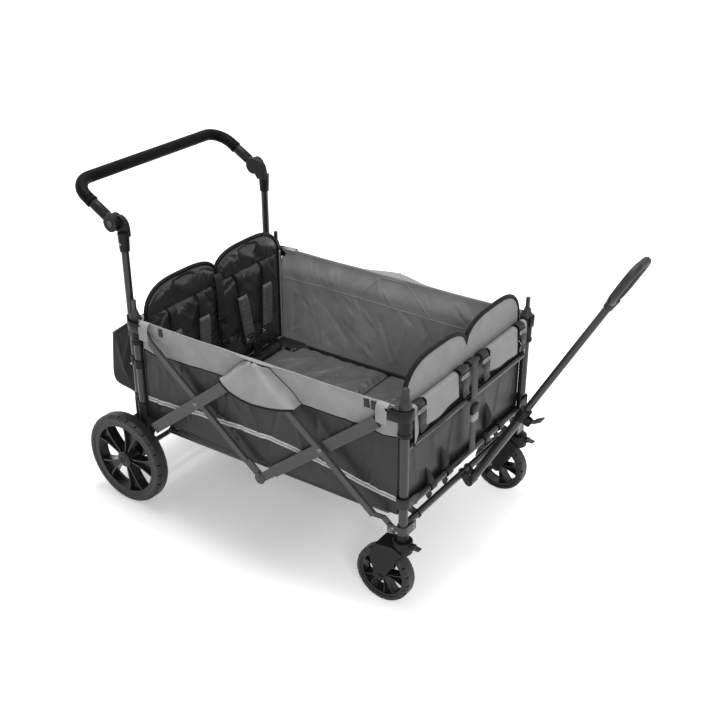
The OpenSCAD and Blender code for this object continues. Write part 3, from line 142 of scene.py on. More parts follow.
# Rear end frame: two round steel posts with three crossbars, and two uprights that carry the push handle.
# Welded tube under an even, fine-grained powder coat with a dark satin gloss.
def finish(name, dark, light, patch, gloss, reliefs=(), metal=0.0, specular=0.5, sheen=0.0, worn=None):
    """A surface of two close tones in soft patches, with an uneven gloss and fine reliefs.
    Each relief is (kind, size of one grain or thread in metres, height in metres)."""
    made = bpy.data.materials.new(name)
    made.use_nodes = True
    nodes, links = made.node_tree.nodes, made.node_tree.links
    shader = nodes["Principled BSDF"]
    shader.inputs["Metallic"].default_value = metal
    shader.inputs["Specular IOR Level"].default_value = specular
    if sheen:
        shader.inputs["Sheen Weight"].default_value = sheen
        shader.inputs["Sheen Roughness"].default_value = 0.4
    where = nodes.new("ShaderNodeTexCoord").outputs["Object"]

    def noise(size, detail=4.0):
        made_noise = nodes.new("ShaderNodeTexNoise")
        made_noise.inputs["Scale"].default_value = 1 / size
        made_noise.inputs["Detail"].default_value = detail
        links.new(where, made_noise.inputs["Vector"])
        return made_noise.outputs["Fac"]

    tones = nodes.new("ShaderNodeValToRGB")
    tones.color_ramp.elements[0].position = 0.36
    tones.color_ramp.elements[1].position = 0.64
    tones.color_ramp.elements[0].color = (*dark, 1)
    tones.color_ramp.elements[1].color = (*light, 1)
    links.new(noise(patch), tones.inputs["Fac"])
    colour = tones.outputs["Color"]
    if worn:
        # A rounded normal differs from the true one only beside an edge
        rounded = nodes.new("ShaderNodeBevel")
        rounded.samples = 4
        rounded.inputs["Radius"].default_value = 0.0012
        true = nodes.new("ShaderNodeNewGeometry")
        same = nodes.new("ShaderNodeVectorMath")
        same.operation = "DOT_PRODUCT"
        links.new(rounded.outputs["Normal"], same.inputs[0])
        links.new(true.outputs["Normal"], same.inputs[1])
        edge = nodes.new("ShaderNodeMapRange")
        edge.inputs["From Min"].default_value = 0.985
        edge.inputs["From Max"].default_value = 0.9
        links.new(same.outputs["Value"], edge.inputs["Value"])
        patchy = nodes.new("ShaderNodeMath")
        patchy.operation = "MULTIPLY"
        links.new(edge.outputs["Result"], patchy.inputs[0])
        links.new(noise(0.012), patchy.inputs[1])
        rubbed = nodes.new("ShaderNodeMix")
        rubbed.data_type = "RGBA"
        rubbed.inputs[7].default_value = (*worn, 1)
        links.new(patchy.outputs[0], rubbed.inputs[0])
        links.new(colour, rubbed.inputs[6])
        colour = rubbed.outputs[2]
    links.new(colour, shader.inputs["Base Color"])
    sheen_map = nodes.new("ShaderNodeMapRange")
    sheen_map.inputs["To Min"].default_value = gloss - 0.07
    sheen_map.inputs["To Max"].default_value = gloss + 0.07
    links.new(noise(patch * 0.4), sheen_map.inputs["Value"])
    links.new(sheen_map.outputs["Result"], shader.inputs["Roughness"])

    normal = None
    for kind, size, height in reliefs:
        if kind == "grain":
            raised = noise(size, 2.0)
        elif kind == "pores":
            cells = nodes.new("ShaderNodeTexVoronoi")
            cells.inputs["Scale"].default_value = 1 / size
            links.new(where, cells.inputs["Vector"])
            raised = cells.outputs["Distance"]
        else:
            # Threads or ribs: bands across each named axis, added together
            raised = None
            for axis in {"weave": "XYZ"}.get(kind, kind[-1].upper()):
                bands = nodes.new("ShaderNodeTexWave")
                bands.bands_direction = axis
                bands.inputs["Scale"].default_value = math.pi / 10 / size
                links.new(where, bands.inputs["Vector"])
                if raised is None:
                    raised = bands.outputs["Fac"]
                else:
                    both = nodes.new("ShaderNodeMath")
                    links.new(raised, both.inputs[0])
                    links.new(bands.outputs["Fac"], both.inputs[1])
                    raised = both.outputs[0]
        bump = nodes.new("ShaderNodeBump")
        bump.inputs["Strength"].default_value = 0.6
        bump.inputs["Distance"].default_value = height
        links.new(raised, bump.inputs["Height"])
        if normal:
            links.new(normal, bump.inputs["Normal"])
        normal = bump.outputs["Normal"]
    if normal:
        links.new(normal, shader.inputs["Normal"])
    return made


def dress(made, *names):
    """Gives CAD nodes a finish."""
    for name in names:
        node[name].data.materials.clear()
        node[name].data.materials.append(made)


powder_coat = finish("powder_coat", (0.018, 0.018, 0.019), (0.023, 0.023, 0.024), 0.2, 0.24,
                     [("grain", 0.0011, 0.00003)], specular=0.45)
dress(powder_coat, "rear_posts", "rear_crossbars", "handle_uprights")

# Axle housings and handle clamps: black moulded nylon blocks that grip post and upright together and carry
# the axle. The moulding has a fine spark-eroded grain, and screws with domed steel heads pull it tight.
black_moulding = finish("black_moulding", (0.008, 0.008, 0.0085), (0.012, 0.012, 0.0125), 0.03, 0.42,
                        [("grain", 0.0008, 0.00006)], specular=0.17, worn=(0.055, 0.055, 0.055))
dress(black_moulding, "axle_housings", "handle_clamps", "hinge_bases", "hinge_caps")
plain_steel = finish("plain_steel", (0.28, 0.28, 0.285), (0.36, 0.36, 0.365), 0.02, 0.32,
                     [("grain", 0.0004, 0.00002)], metal=1.0)
rear_x = sum(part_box("rear_posts"), Vector()).x / 2


def here(x, y, z):
    """A point given in millimetres from the rear posts, the middle plane and the ground."""
    return Vector((rear_x + x / 1000, y / 1000, z / 1000))


def keep(name, points, faces, made, body, smooth=True):
    """Puts a mesh into the scene with its finish and lets it ride on a CAD body."""
    mesh = bpy.data.meshes.new(name)
    mesh.from_pydata([tuple(p) for p in points], [], faces)
    mesh.update()
    for one in made if isinstance(made, (list, tuple)) else [made]:
        mesh.materials.append(one)
    mesh.polygons.foreach_set("use_smooth", [smooth] * len(mesh.polygons))
    piece = bpy.data.objects.new(name, mesh)
    scene.collection.objects.link(piece)
    if body:
        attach(piece, body)
    return piece


def skin(rings, steps):
    """Faces over a row of rings with as many points each, closed at both ends."""
    faces = []
    for i in range(rings - 1):
        for k in range(steps):
            n = (k + 1) % steps
            faces.append((i * steps + k, i * steps + n, (i + 1) * steps + n, (i + 1) * steps + k))
    return faces + [tuple(reversed(range(steps))), tuple(range((rings - 1) * steps, rings * steps))]


def turned(profile, centre, axis, steps=20):
    """Points and faces of a profile of (radius, height) turned round an axis, closed at both ends."""
    axis = Vector(axis).normalized()
    side = axis.orthogonal().normalized()
    across = axis.cross(side)
    points = []
    for radius, height in profile:
        for k in range(steps):
            a = 2 * math.pi * k / steps
            spoke = side * math.cos(a) + across * math.sin(a)
            points.append(Vector(centre) + axis * height + spoke * radius)
    return points, skin(len(profile), steps)


def gathered(shapes):
    """Joins several (points, faces) into one."""
    points, faces = [], []
    for more, theirs in shapes:
        first = len(points)
        points += list(more)
        faces += [tuple(first + i for i in f) for f in theirs]
    return points, faces


def rivets(name, places, radius, body, made=plain_steel):
    """Domed heads, each (point on the surface, outward direction), as one piece."""
    dome = [(radius, -0.0004), (radius, 0.0004), (radius * 0.86, radius * 0.3), (radius * 0.5, radius * 0.5),
            (radius * 0.12, radius * 0.56)]
    return keep(name, *gathered(turned(dome, p, d) for p, d in places), made, body)


sides = (-1, 1)
housing_screws_at = ((-34, 262), (-24, 196), (-52, 168), (2, 300))
rivets("housing_screws", [(here(x, s * 338, z), (0, s, 0)) for s in sides for x, z in housing_screws_at],
       0.0042, "rear_frame")
rivets("clamp_screws", [(here(-18, s * 341.5, 459), (0, s, 0)) for s in sides], 0.004, "rear_frame")

# Push handle: a bent steel U between two round hinges, with a sleeve of dull closed-cell foam over the bend
# and moulded sleeves on its arms. Each hinge has a press button, an elbow and a socket on the upright.
dress(powder_coat, "handle_bar")
foam = finish("foam_sleeve", (0.0025, 0.0025, 0.0027), (0.0045, 0.0045, 0.0047), 0.016, 0.5,
              [("pores", 0.0022, 0.00012), ("grain", 0.0007, 0.00005)], specular=0.07)


def swept(path, ring, across):
    """Points and faces of a ring of (across, over) offsets carried along a path of points in metres."""
    path, ring = np.asarray(path, float), np.asarray(ring, float)
    ahead = np.gradient(path, axis=0)
    ahead /= np.linalg.norm(ahead, axis=1)[:, None]
    side = np.broadcast_to(np.asarray(across, float), path.shape)
    side = side - ahead * np.sum(side * ahead, axis=1)[:, None]
    side /= np.linalg.norm(side, axis=1)[:, None]
    over = np.cross(ahead, side)
    rings = path[:, None] + ring[:, :1] * side[:, None] + ring[:, 1:] * over[:, None]
    return [tuple(p) for p in rings.reshape(-1, 3)], skin(len(path), len(ring))


def tube(path, radius, steps=8):
    """A round cord along a path."""
    turn = np.linspace(0, 2 * math.pi, steps, endpoint=False)
    return swept(path, radius * np.stack([np.cos(turn), np.sin(turn)], 1), (0.31, 0.2, 0.93))


hinge_x, hinge_z, arm_y, arm_lift = -63, 878, 312, math.radians(30)
grip_from, bend_from, bend_r, grip_r = 88, 111, 62, 17.8


def on_handle(along, across):
    """A point of the push handle: along its arms from the hinge, and across from the middle plane."""
    return here(hinge_x - along * math.cos(arm_lift), across, hinge_z + along * math.sin(arm_lift))


arm_way = on_handle(1, 0) - on_handle(0, 0)
half_route = [(grip_from, -arm_y)]
for a in np.linspace(0, math.pi / 2, 15):
    half_route.append((bend_from + bend_r * math.sin(a), bend_r - arm_y - bend_r * math.cos(a)))
route = half_route + [(along, -y) for along, y in reversed(half_route)]
end_roll = [(0.015, -0.0012), (0.0176, -0.001), (0.0188, 0.001), (0.0188, 0.005), (0.0178, 0.008)]
rolls = [turned(end_roll, on_handle(grip_from, s * arm_y), arm_way, 32) for s in sides]
sleeve = tube([on_handle(*p) for p in route], grip_r / 1000, 32)
grip = keep("grip_sleeve", *gathered([sleeve] + rolls), foam, "push_handle")
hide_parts("handle_grip")
arm_sleeve = [(0.0135, 0.028), (0.0157, 0.0295), (0.0158, 0.068), (0.0152, 0.0845), (0.0135, 0.0865)]
keep("handle_arms", *gathered(turned(arm_sleeve, on_handle(0, s * arm_y), arm_way, 32) for s in sides),
     black_moulding, "push_handle")
elbow_edge = [(-43.8, 842), (-14.2, 842), (-14.4, 866), (-18, 882), (-26, 893), (-36, 899), (-45, 900.5)]
elbow_r, elbow_mid_x, elbow_mid_z = 25.2, -42, 872
for a in np.radians(range(60, 300, 10)):
    elbow_edge.append((hinge_x + elbow_r * math.cos(a), hinge_z + elbow_r * math.sin(a)))
elbow_levels = ((16.6, 0.9), (14.6, 1.0), (0.7, 1.0))
elbows = []
for s in sides:
    points = [here(elbow_mid_x + (x - elbow_mid_x) * share, s * (arm_y - inset),
                   elbow_mid_z + (z - elbow_mid_z) * share)
              for inset, share in elbow_levels for x, z in elbow_edge]
    elbows.append((points, skin(len(elbow_levels), len(elbow_edge))))
keep("hinge_elbows", *gathered(elbows), black_moulding, "rear_frame", smooth=False)
grey_moulding = finish("grey_moulding", (0.032, 0.032, 0.033), (0.044, 0.044, 0.045), 0.02, 0.4,
                       [("grain", 0.0007, 0.00005)])
dress(grey_moulding, "hinge_button_left", "hinge_button_right")
socket_rivet_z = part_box("hinge_bases")[0].z * 1000 + 24
rivets("socket_rivets",
       [(here(-29.5, s * 327.6, socket_rivet_z), (0, s, 0)) for s in sides]
       + [(here(-44.8, s * arm_y, socket_rivet_z), (-1, 0, 0)) for s in sides], 0.0036, "rear_frame")

# Rear wheels: moulded rims with paired thin spokes and a stepped hub cap, in foam-filled rubber tyres.
# The rubber is dull and slightly dusty in the tread, and the rims have a satin moulded finish.
tyre_rubber = finish("tyre_rubber", (0.015, 0.015, 0.015), (0.023, 0.0227, 0.0225), 0.018, 0.46,
                     [("grain", 0.0012, 0.00012)], specular=0.34)
dress(tyre_rubber, "rear_tyre_left", "rear_tyre_right", "caster_tyre_left", "caster_tyre_right")
rim_moulding = finish("rim_moulding", (0.010, 0.010, 0.011), (0.016, 0.016, 0.017), 0.03, 0.28,
                      [("grain", 0.001, 0.00004)], specular=0.3, worn=(0.07, 0.07, 0.072))
dress(rim_moulding, "rear_rim_left", "rear_rim_right", "caster_rim_left", "caster_rim_right")
axle_z = sum(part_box("rear_tyre_left"), Vector()).z / 2
axle_x = sum(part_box("rear_tyre_left"), Vector()).x / 2
for side, s in (("left", 1), ("right", -1)):
    face = max(abs(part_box("rear_rim_" + side)[0].y), abs(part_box("rear_rim_" + side)[1].y))
    ring = [(0.0105, -0.0005), (0.0105, 0.0010), (0.0085, 0.0016), (0.0078, 0.0006), (0.0012, 0.0008)]
    keep("hub_cap_" + side, *turned(ring, (axle_x, s * face, axle_z), (0, s, 0), 32), black_moulding,
         "rear_wheel_" + side)

# Axle and foot brake: a coated steel rod through both housings, and a moulded pedal hung on it.
# The pedal has cross ribs for the shoe.
dress(powder_coat, "rear_axle")
dress(grey_moulding, "brake_pedal")

# Scissor bars: pressed steel channels in two layers on each side, crossing at riveted hubs.
# They carry a lighter charcoal coat than the posts; the rivets are blackened steel.
bar_coat = finish("bar_coat", (0.046, 0.046, 0.048), (0.056, 0.056, 0.058), 0.15, 0.36,
                  [("grain", 0.001, 0.00005)], specular=0.4, worn=(0.13, 0.13, 0.13))
blackened_steel = finish("blackened_steel", (0.10, 0.10, 0.102), (0.14, 0.14, 0.142), 0.02, 0.3,
                         [("grain", 0.0004, 0.00002)], metal=1.0)
dress(bar_coat, "rear_rising_bars", "rear_falling_bars", "front_falling_bars", "front_rising_bars")
post_gap = 917
hub_x, low_hub_y, low_hub_z = post_gap / 2, 350.2, 241
low_hub_plate = [(0.0172, -0.0002), (0.0172, 0.0012), (0.0162, 0.002), (0.0076, 0.002), (0.0068, 0.0034),
                 (0.003, 0.0042)]
low_hubs = [turned(low_hub_plate, here(hub_x, s * low_hub_y, low_hub_z), (0, s, 0), 32) for s in sides]
keep("low_hub_plates", *gathered(low_hubs), bar_coat, "rear_falling")
dress(blackened_steel, "rear_rising_rivets", "rear_falling_rivets", "front_falling_rivets")

# Front end frame: posts and crossbars like the rear, with stamped corner plates riveted round the post feet
# and plugs for the caster stems.
dress(powder_coat, "front_posts", "front_crossbars", "front_corner_brackets", "pull_bracket")
dress(black_moulding, "caster_sockets")
rivets("corner_plate_rivets",
       [(here(post_gap - x, s * 341, 235), (0, s, 0)) for s in sides for x in (10, 33)]
       + [(here(932.5, s * 297, z), (1, 0, 0)) for s in sides for z in (236, 246)], 0.0036, "front_frame")

# Top slides: black corner collars that ride up the posts when the frame folds, on coated inner rods whose
# ends stand up as canopy pegs. A coated bar joins each pair.
dress(black_moulding, "rear_top_brackets", "front_top_brackets")
dress(powder_coat, "rear_slide_rods", "front_slide_rods", "rear_top_bar", "front_top_bar")
collar_screw_z = 589
for end, x in (("rear", 26), ("front", post_gap - 26)):
    rivets(end + "_collar_screws", [(here(x, s * 344, collar_screw_z), (0, s, 0)) for s in sides], 0.0062,
           end + "_top")

# Casters: moulded forks that swivel on steel stems in the plugs of the front frame, each with a small wheel.
# A moulded tab at the front of the fork locks the swivel.
dress(black_moulding, "caster_fork_left", "caster_fork_right")
dress(grey_moulding, "caster_lock_left", "caster_lock_right")

# Pull handle: a coated outer tube, an inner tube that slides in it, a moulded collar with a flip lever,
# and a loop grip with a rubbery skin.
dress(powder_coat, "pull_outer_tube", "pull_inner_tube")
dress(black_moulding, "pull_clamp")
dress(grey_moulding, "pull_lever")
grip_skin = finish("grip_skin", (0.013, 0.013, 0.013), (0.02, 0.02, 0.02), 0.02, 0.5,
                   [("grain", 0.0009, 0.00008)], specular=0.4)
dress(grip_skin, "pull_grip")

# Floor rails: two pairs of coated steel tubes under the mats, hinged at the end frames.
# They turn up as the wagon folds.
dress(powder_coat, "floor_rails_rear", "floor_rails_front")


# Floor mats: two foam-filled pads of coated nylon that lie on the rails and turn up with them. Each is sewn
# across twice, and the slack cloth lies in shallow creases between the seams.
def spread(x, y, z):
    """Millimetres from the rear posts, the middle plane and the ground, as points in metres."""
    return np.stack(np.broadcast_arrays(rear_x + np.asarray(x) / 1000, np.asarray(y) / 1000,
                                        np.asarray(z) / 1000), -1)


def ease(t):
    t = np.clip(t, 0, 1)
    return t * t * (3 - 2 * t)


def creases(a, b, lines):
    """Height of the creases over a flat cloth. Each line is (a1, b1, a2, b2, width, height): a ridge between
    two places, or a furrow where the height is below zero, steeper on one side and dying out at its ends."""
    lift = np.zeros(np.broadcast(a, b).shape)
    for a1, b1, a2, b2, width, height in lines:
        span = math.hypot(a2 - a1, b2 - b1)
        along = ((a - a1) * (a2 - a1) + (b - b1) * (b2 - b1)) / span**2
        off = ((a - a1) * (b2 - b1) - (b - b1) * (a2 - a1)) / span / width
        off = np.where(off > 0, off * 1.5, off * 0.75)
        lift += height * ease((along + 0.05) / 0.35) * ease((1.05 - along) / 0.35) / (1 + off**2)**1.5
    return lift


def lined(outer, lining):
    """Points and faces of a cloth with an outer side and a lining, both grids of points, sewn at the rim.
    The faces come in three runs: outer, lining, rim."""
    across, up = outer.shape[:2]
    index = np.arange(across * up).reshape(across, up)
    quads = np.stack([index[:-1, :-1], index[1:, :-1], index[1:, 1:], index[:-1, 1:]], -1).reshape(-1, 4)
    rim = np.concatenate([index[:-1, 0], index[-1, :-1], index[:0:-1, -1], index[0, :0:-1]])
    after = np.roll(rim, -1)
    under = across * up
    hem = np.stack([after, rim, rim + under, after + under], -1)
    points = np.concatenate([outer.reshape(-1, 3), lining.reshape(-1, 3)])
    return points, np.concatenate([quads, quads[:, ::-1] + under, hem]).tolist()


front_x = sum(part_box("front_posts"), Vector()).x / 2


def at_end(end, points):
    """Points made for the rear end, turned round where they belong to the front one."""
    points = np.array(points, float)
    if end == "front":
        points[..., 0] = rear_x + front_x - points[..., 0]
    return points


def outward(piece):
    """Turns every face of a closed piece to the outside."""
    shell = bmesh.new()
    shell.from_mesh(piece.data)
    bmesh.ops.recalc_face_normals(shell, faces=shell.faces)
    shell.to_mesh(piece.data)
    shell.free()
    return piece


def stuffed(points, faces, sewn, voxel, slack, cap):
    """Swells a closed pad by cloth simulation and gives its points, before and after, and its faces.
    sewn(points in metres) says which points the stitching holds; no point moves further than cap."""
    def bare(name, co, polygons):
        mesh = bpy.data.meshes.new(name)
        mesh.from_pydata([tuple(p) for p in co], [], polygons)
        mesh.update()
        made = bpy.data.objects.new(name, mesh)
        scene.collection.objects.link(made)
        return made

    def measured(thing):
        shape = thing.evaluated_get(bpy.context.evaluated_depsgraph_get()).to_mesh()
        return np.array([v.co for v in shape.vertices]), [tuple(p.vertices) for p in shape.polygons]

    cut = outward(bare("pad_cut", points, faces))
    even = cut.modifiers.new("even", "REMESH")
    even.mode = "VOXEL"
    even.voxel_size = voxel
    before, polygons = measured(cut)
    after = before.copy()
    blown = bare("pad_blown", before, polygons)
    held = blown.vertex_groups.new(name="sewn")
    held.add([int(i) for i in np.nonzero(sewn(before))[0]], 1.0, "REPLACE")
    cloth = blown.modifiers.new("cloth", "CLOTH")
    cloth.settings.quality = 5
    cloth.settings.mass = 0.2
    cloth.settings.tension_stiffness = 12
    cloth.settings.compression_stiffness = 12
    cloth.settings.shear_stiffness = 6
    cloth.settings.bending_stiffness = 0.3
    cloth.settings.use_pressure = True
    cloth.settings.uniform_pressure_force = 4
    cloth.settings.shrink_min = slack
    cloth.settings.vertex_group_mass = "sewn"
    cloth.settings.effector_weights.gravity = 0
    for step in range(1, 21):
        scene.frame_set(step)
    moved = measured(blown)[0] - before
    far = np.linalg.norm(moved, axis=1)[:, None]
    after = before + moved * np.minimum(1, cap / np.maximum(far, 1e-9))
    scene.frame_set(1)
    bpy.data.objects.remove(blown)
    bpy.data.objects.remove(cut)
    return before, after, polygons


mat_back, mat_end, mat_half, mat_low, mat_top = 55.5, 461.5, 316, 254.6, 283
mat_back_stop, mat_end_stop = 58.6, 458.4
mat_neck, neck_half = 112, 268
soft_from, soft_over = 287.5, 2.9
mat_seams = (218, 338)
mat_creases = [(226, -70, 334, 88, 8, 4.4), (238, 30, 330, 150, 7, 3.6), (228, 130, 332, 290, 8, 4.2),
               (230, -210, 330, -86, 8, 3.8), (232, -290, 300, -196, 7, 3.2), (345, -120, 452, 40, 9, 4.4),
               (350, 0, 450, 130, 8, 4.0), (346, 110, 440, 262, 8, 4.0), (350, -250, 450, -120, 8, 3.8),
               (352, 210, 452, 300, 7, 3.2), (120, -60, 212, 66, 8, 3.6), (124, 50, 214, 190, 7, 3.4),
               (118, -200, 210, -70, 8, 3.4), (126, 190, 205, 262, 7, 2.8), (262, -20, 300, 50, 6, -2.6),
               (372, -60, 420, 20, 6, -2.6), (250, 180, 310, 250, 6, -2.4), (384, 60, 430, 120, 6, -2.4),
               (238, -120, 278, 40, 5, -4.6), (292, -20, 330, 130, 5, -4.8), (250, 60, 292, 205, 5, -4.4),
               (350, -180, 392, -40, 5, -4.6), (372, 30, 412, 160, 6, -3.6), (296, 165, 332, 292, 5, -4.2),
               (128, -30, 168, 120, 5, -4.2), (158, 90, 200, 232, 5, -4.2), (400, -230, 446, -90, 5, -4.4)]
mat_wrinkle = np.random.default_rng(5)
for _ in range(36):
    a, b, reach, turn = mat_wrinkle.uniform((80, -290, 30, 0.1), (420, 290, 90, 1.9))
    width, height = mat_wrinkle.uniform((5.0, 0.9), (9.0, 2.4))
    mat_creases.append((a, b, a + reach * math.cos(turn), b + reach * math.sin(turn), width,
                        height * mat_wrinkle.choice((-1, 1))))
u, v = np.meshgrid(np.linspace(0, 1, 60), np.linspace(-1, 1, 80), indexing="ij")
mat_x = mat_back + (mat_end - mat_back) * u
mat_y = np.where(mat_x < mat_neck, neck_half, mat_half) * v
rounded = (1 - np.abs(2 * u - 1)**24)**0.5 * (1 - np.abs(v)**40)**0.5
mat_cut = lined(spread(mat_x, mat_y, mat_low + 8 + (mat_top - mat_low - 8) * rounded),
                spread(mat_x, mat_y, mat_low))


def mat_sewn(p):
    x, z = (p[:, 0] - rear_x) * 1000, p[:, 2] * 1000
    on_seam = np.min([np.abs(x - s) for s in mat_seams], axis=0) < 4
    return on_seam | (z < mat_top - 9)


before, mat_points, mat_faces = stuffed(*mat_cut, mat_sewn, 0.006, -0.03, 0.004)
x, y, z = (mat_points[:, 0] - rear_x) * 1000, mat_points[:, 1] * 1000, mat_points[:, 2] * 1000
top_side = ease((before[:, 2] * 1000 - mat_top + 8) / 6)
inside = ease((mat_end - x) / 28) * ease((mat_half - np.abs(y)) / 28)
z = z + 1.25 * top_side * inside * creases(x, y, mat_creases)
for s in mat_seams:
    z -= 4.5 * top_side * np.exp(-((x - s) / 4)**2)
z = np.where(z < mat_top - 8, np.maximum(z, mat_low), z)
z = np.where(z > soft_from, soft_from + soft_over * np.tanh((z - soft_from) / soft_over), z)
mat_points = spread(np.clip(x, mat_back_stop, mat_end_stop), y, z)
floor_nylon = finish("floor_nylon", (0.09, 0.09, 0.092), (0.115, 0.115, 0.117), 0.07, 0.36,
                     [("weave", 0.0012, 0.00004), ("grain", 0.012, 0.0005)], specular=0.45, sheen=0.06)
black_nylon = finish("black_nylon", (0.014, 0.014, 0.015), (0.021, 0.021, 0.022), 0.09, 0.38,
                     [("weave", 0.0011, 0.00004), ("grain", 0.014, 0.0006)], specular=0.3, sheen=0.02)
mat_under = before[:, 2] * 1000 < mat_top - 10
for end in ("rear", "front"):
    # The front mat is the rear one turned round, so that the creases run the same way on both
    laid = at_end(end, mat_points) * (1, 1 if end == "rear" else -1, 1)
    mat = keep("floor_mat_" + end, laid, mat_faces, [floor_nylon, black_nylon], "floor_" + end)
    mat.data.polygons.foreach_set("material_index", mat_under[[f[0] for f in mat_faces]].astype(np.int32))
    outward(mat)
    finer = mat.modifiers.new("finer", "SUBSURF")
    finer.levels = finer.render_levels = 1
    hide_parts("floor_pad_" + end)

# Seat backs: two-lobed foam pads, black coated nylon on the sitting side and light cloth behind, with a thick
# black piping sewn round the edge. A seam across the upper part has the harness slots and puckers the cloth.
seat_half, seat_low, seat_side, seat_dip, seat_peak = 302, 294.5, 606, 636, 690
seat_back_x, seat_front_x, seat_seam_z, lower_seam_z = 15.2, 43, 603, 400
seat_creases = [(-150, 672, -168, 606, 8, 3.4), (-205, 668, -190, 608, 7, -2.6),
                (-110, 676, -92, 610, 7, 3.0), (-222, 598, -120, 520, 9, 4.2),
                (-90, 598, -165, 490, 8, 4.0), (-235, 560, -180, 460, 9, 3.4),
                (-60, 590, -105, 480, 8, 3.8), (-120, 500, -60, 420, 8, 3.2),
                (-262, 640, -228, 560, 7, 2.8), (-40, 640, -72, 580, 6, 2.6),
                (-185, 480, -140, 410, 7, 3.0), (-150, 590, -140, 530, 6, -2.8),
                (-250, 440, -160, 340, 9, 3.0), (-140, 395, -60, 320, 8, 2.8),
                (-205, 540, -215, 470, 6, -2.6)]


def seat_top(y):
    """Height of the seat back's outline."""
    q = np.abs(y) / (seat_half / 2) - 1
    base = np.where(q < 0, seat_dip, seat_side)
    return base + (seat_peak - base) * np.clip(1 - np.abs(q)**3.2, 0, 1)**0.5


u, v = np.meshgrid(np.linspace(-1, 1, 121), np.linspace(0, 1, 70), indexing="ij")
seat_y = seat_half * u
seat_z = seat_low + (seat_top(seat_y) - seat_low) * v
lobe = np.abs(2 * np.abs(u) - 1)
crown = (1 - lobe**6)**0.5 * (1 - np.abs(2 * v - 1)**8)**0.5
seat_cut = lined(spread(seat_back_x + 7 + 6 * crown, seat_y, seat_z), spread(seat_back_x, seat_y, seat_z))


def seat_edge(p):
    """How far points of the seat back lie inside its outline, in millimetres."""
    y, z = p[:, 1] * 1000, p[:, 2] * 1000
    return np.min([seat_half - np.abs(y), z - seat_low, (seat_top(y) - z) * 0.8], axis=0)


def seat_sewn(p):
    x, y, z = (p[:, 0] - rear_x) * 1000, p[:, 1] * 1000, p[:, 2] * 1000
    front = x > seat_back_x + 6
    on_seam = (np.abs(z - seat_seam_z) < 3.5) | (np.abs(z - lower_seam_z) < 3.5) | (np.abs(y) < 4)
    return (seat_edge(p) < 8) | (front & on_seam)


before, seat_points, seat_faces = stuffed(*seat_cut, seat_sewn, 0.0055, -0.05, 0.009)
x, y, z = (seat_points[:, 0] - rear_x) * 1000, seat_points[:, 1] * 1000, seat_points[:, 2] * 1000
sitting = ease(((before[:, 0] - rear_x) * 1000 - seat_back_x - 3) / 6)
inner = ease((seat_edge(before) - 6) / 24)
other_lobe = [(a + 25, b - 14, c - 20, d + 12, width, height) for a, b, c, d, width, height in seat_creases]
x = x + sitting * inner * (creases(y, z, seat_creases) + creases(-y, z, other_lobe))
x -= sitting * inner * (4 * np.exp(-((z - seat_seam_z) / 4)**2) + 3.5 * np.exp(-((z - lower_seam_z) / 4)**2)
                        + 5 * np.exp(-(y / 5)**2))
x += (1 - sitting) * inner * 1.2 * np.sin(y / 17 + z / 40) * np.sin(z / 23)
seat_points = spread(np.clip(x, seat_back_x - 1.0, seat_front_x), y, z)
seat_nylon = finish("seat_nylon", (0.023, 0.023, 0.024), (0.033, 0.033, 0.034), 0.06, 0.3,
                    [("weave", 0.0014, 0.000012), ("grain", 0.03, 0.0012)], specular=0.55)
light_cloth = finish("light_cloth", (0.33, 0.33, 0.335), (0.375, 0.375, 0.38), 0.05, 0.62,
                     [("weave", 0.0011, 0.00008), ("grain", 0.004, 0.00015)], specular=0.25, sheen=0.1)
piping = finish("piping", (0.004, 0.004, 0.0042), (0.007, 0.007, 0.0072), 0.02, 0.55,
                [("weave", 0.0008, 0.00008)], specular=0.15)
rim_y = np.concatenate([[-seat_half] * 30, -seat_half * np.cos(np.linspace(0, math.pi / 2, 60))[1:-1],
                        seat_half * np.sin(np.linspace(0, math.pi / 2, 60))[:-1], [seat_half] * 30])
rim_z = np.concatenate([np.linspace(seat_low + 2, seat_side - 4, 30), seat_top(rim_y[30:-30]),
                        np.linspace(seat_side - 4, seat_low + 2, 30)])
front_rise, rise_from, rise_over = 8, 560, 130


def seat_at(end, points):
    """Seat back points at their end; the front one stands a little taller."""
    points = at_end(end, points)
    if end == "front":
        points[..., 2] += front_rise / 1000 * ease((points[..., 2] * 1000 - rise_from) / rise_over)
    return points


for end, body in (("rear", "rear_top"), ("front", "front_top")):
    pad = keep(end + "_seat_pad", seat_at(end, seat_points), seat_faces, [seat_nylon, light_cloth], body)
    behind = sitting[[f[0] for f in seat_faces]] < 0.5
    pad.data.polygons.foreach_set("material_index", behind.astype(np.int32))
    outward(pad)
    finer = pad.modifiers.new("finer", "SUBSURF")
    finer.levels = finer.render_levels = 1
    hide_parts(end + "_seat_back")
    cord_points, cord_faces = tube(spread(seat_back_x + 5, rim_y * 1.003, rim_z + 1), 0.0066, 12)
    edge = keep(end + "_seat_piping", seat_at(end, cord_points), cord_faces, piping, body)
    outward(edge)
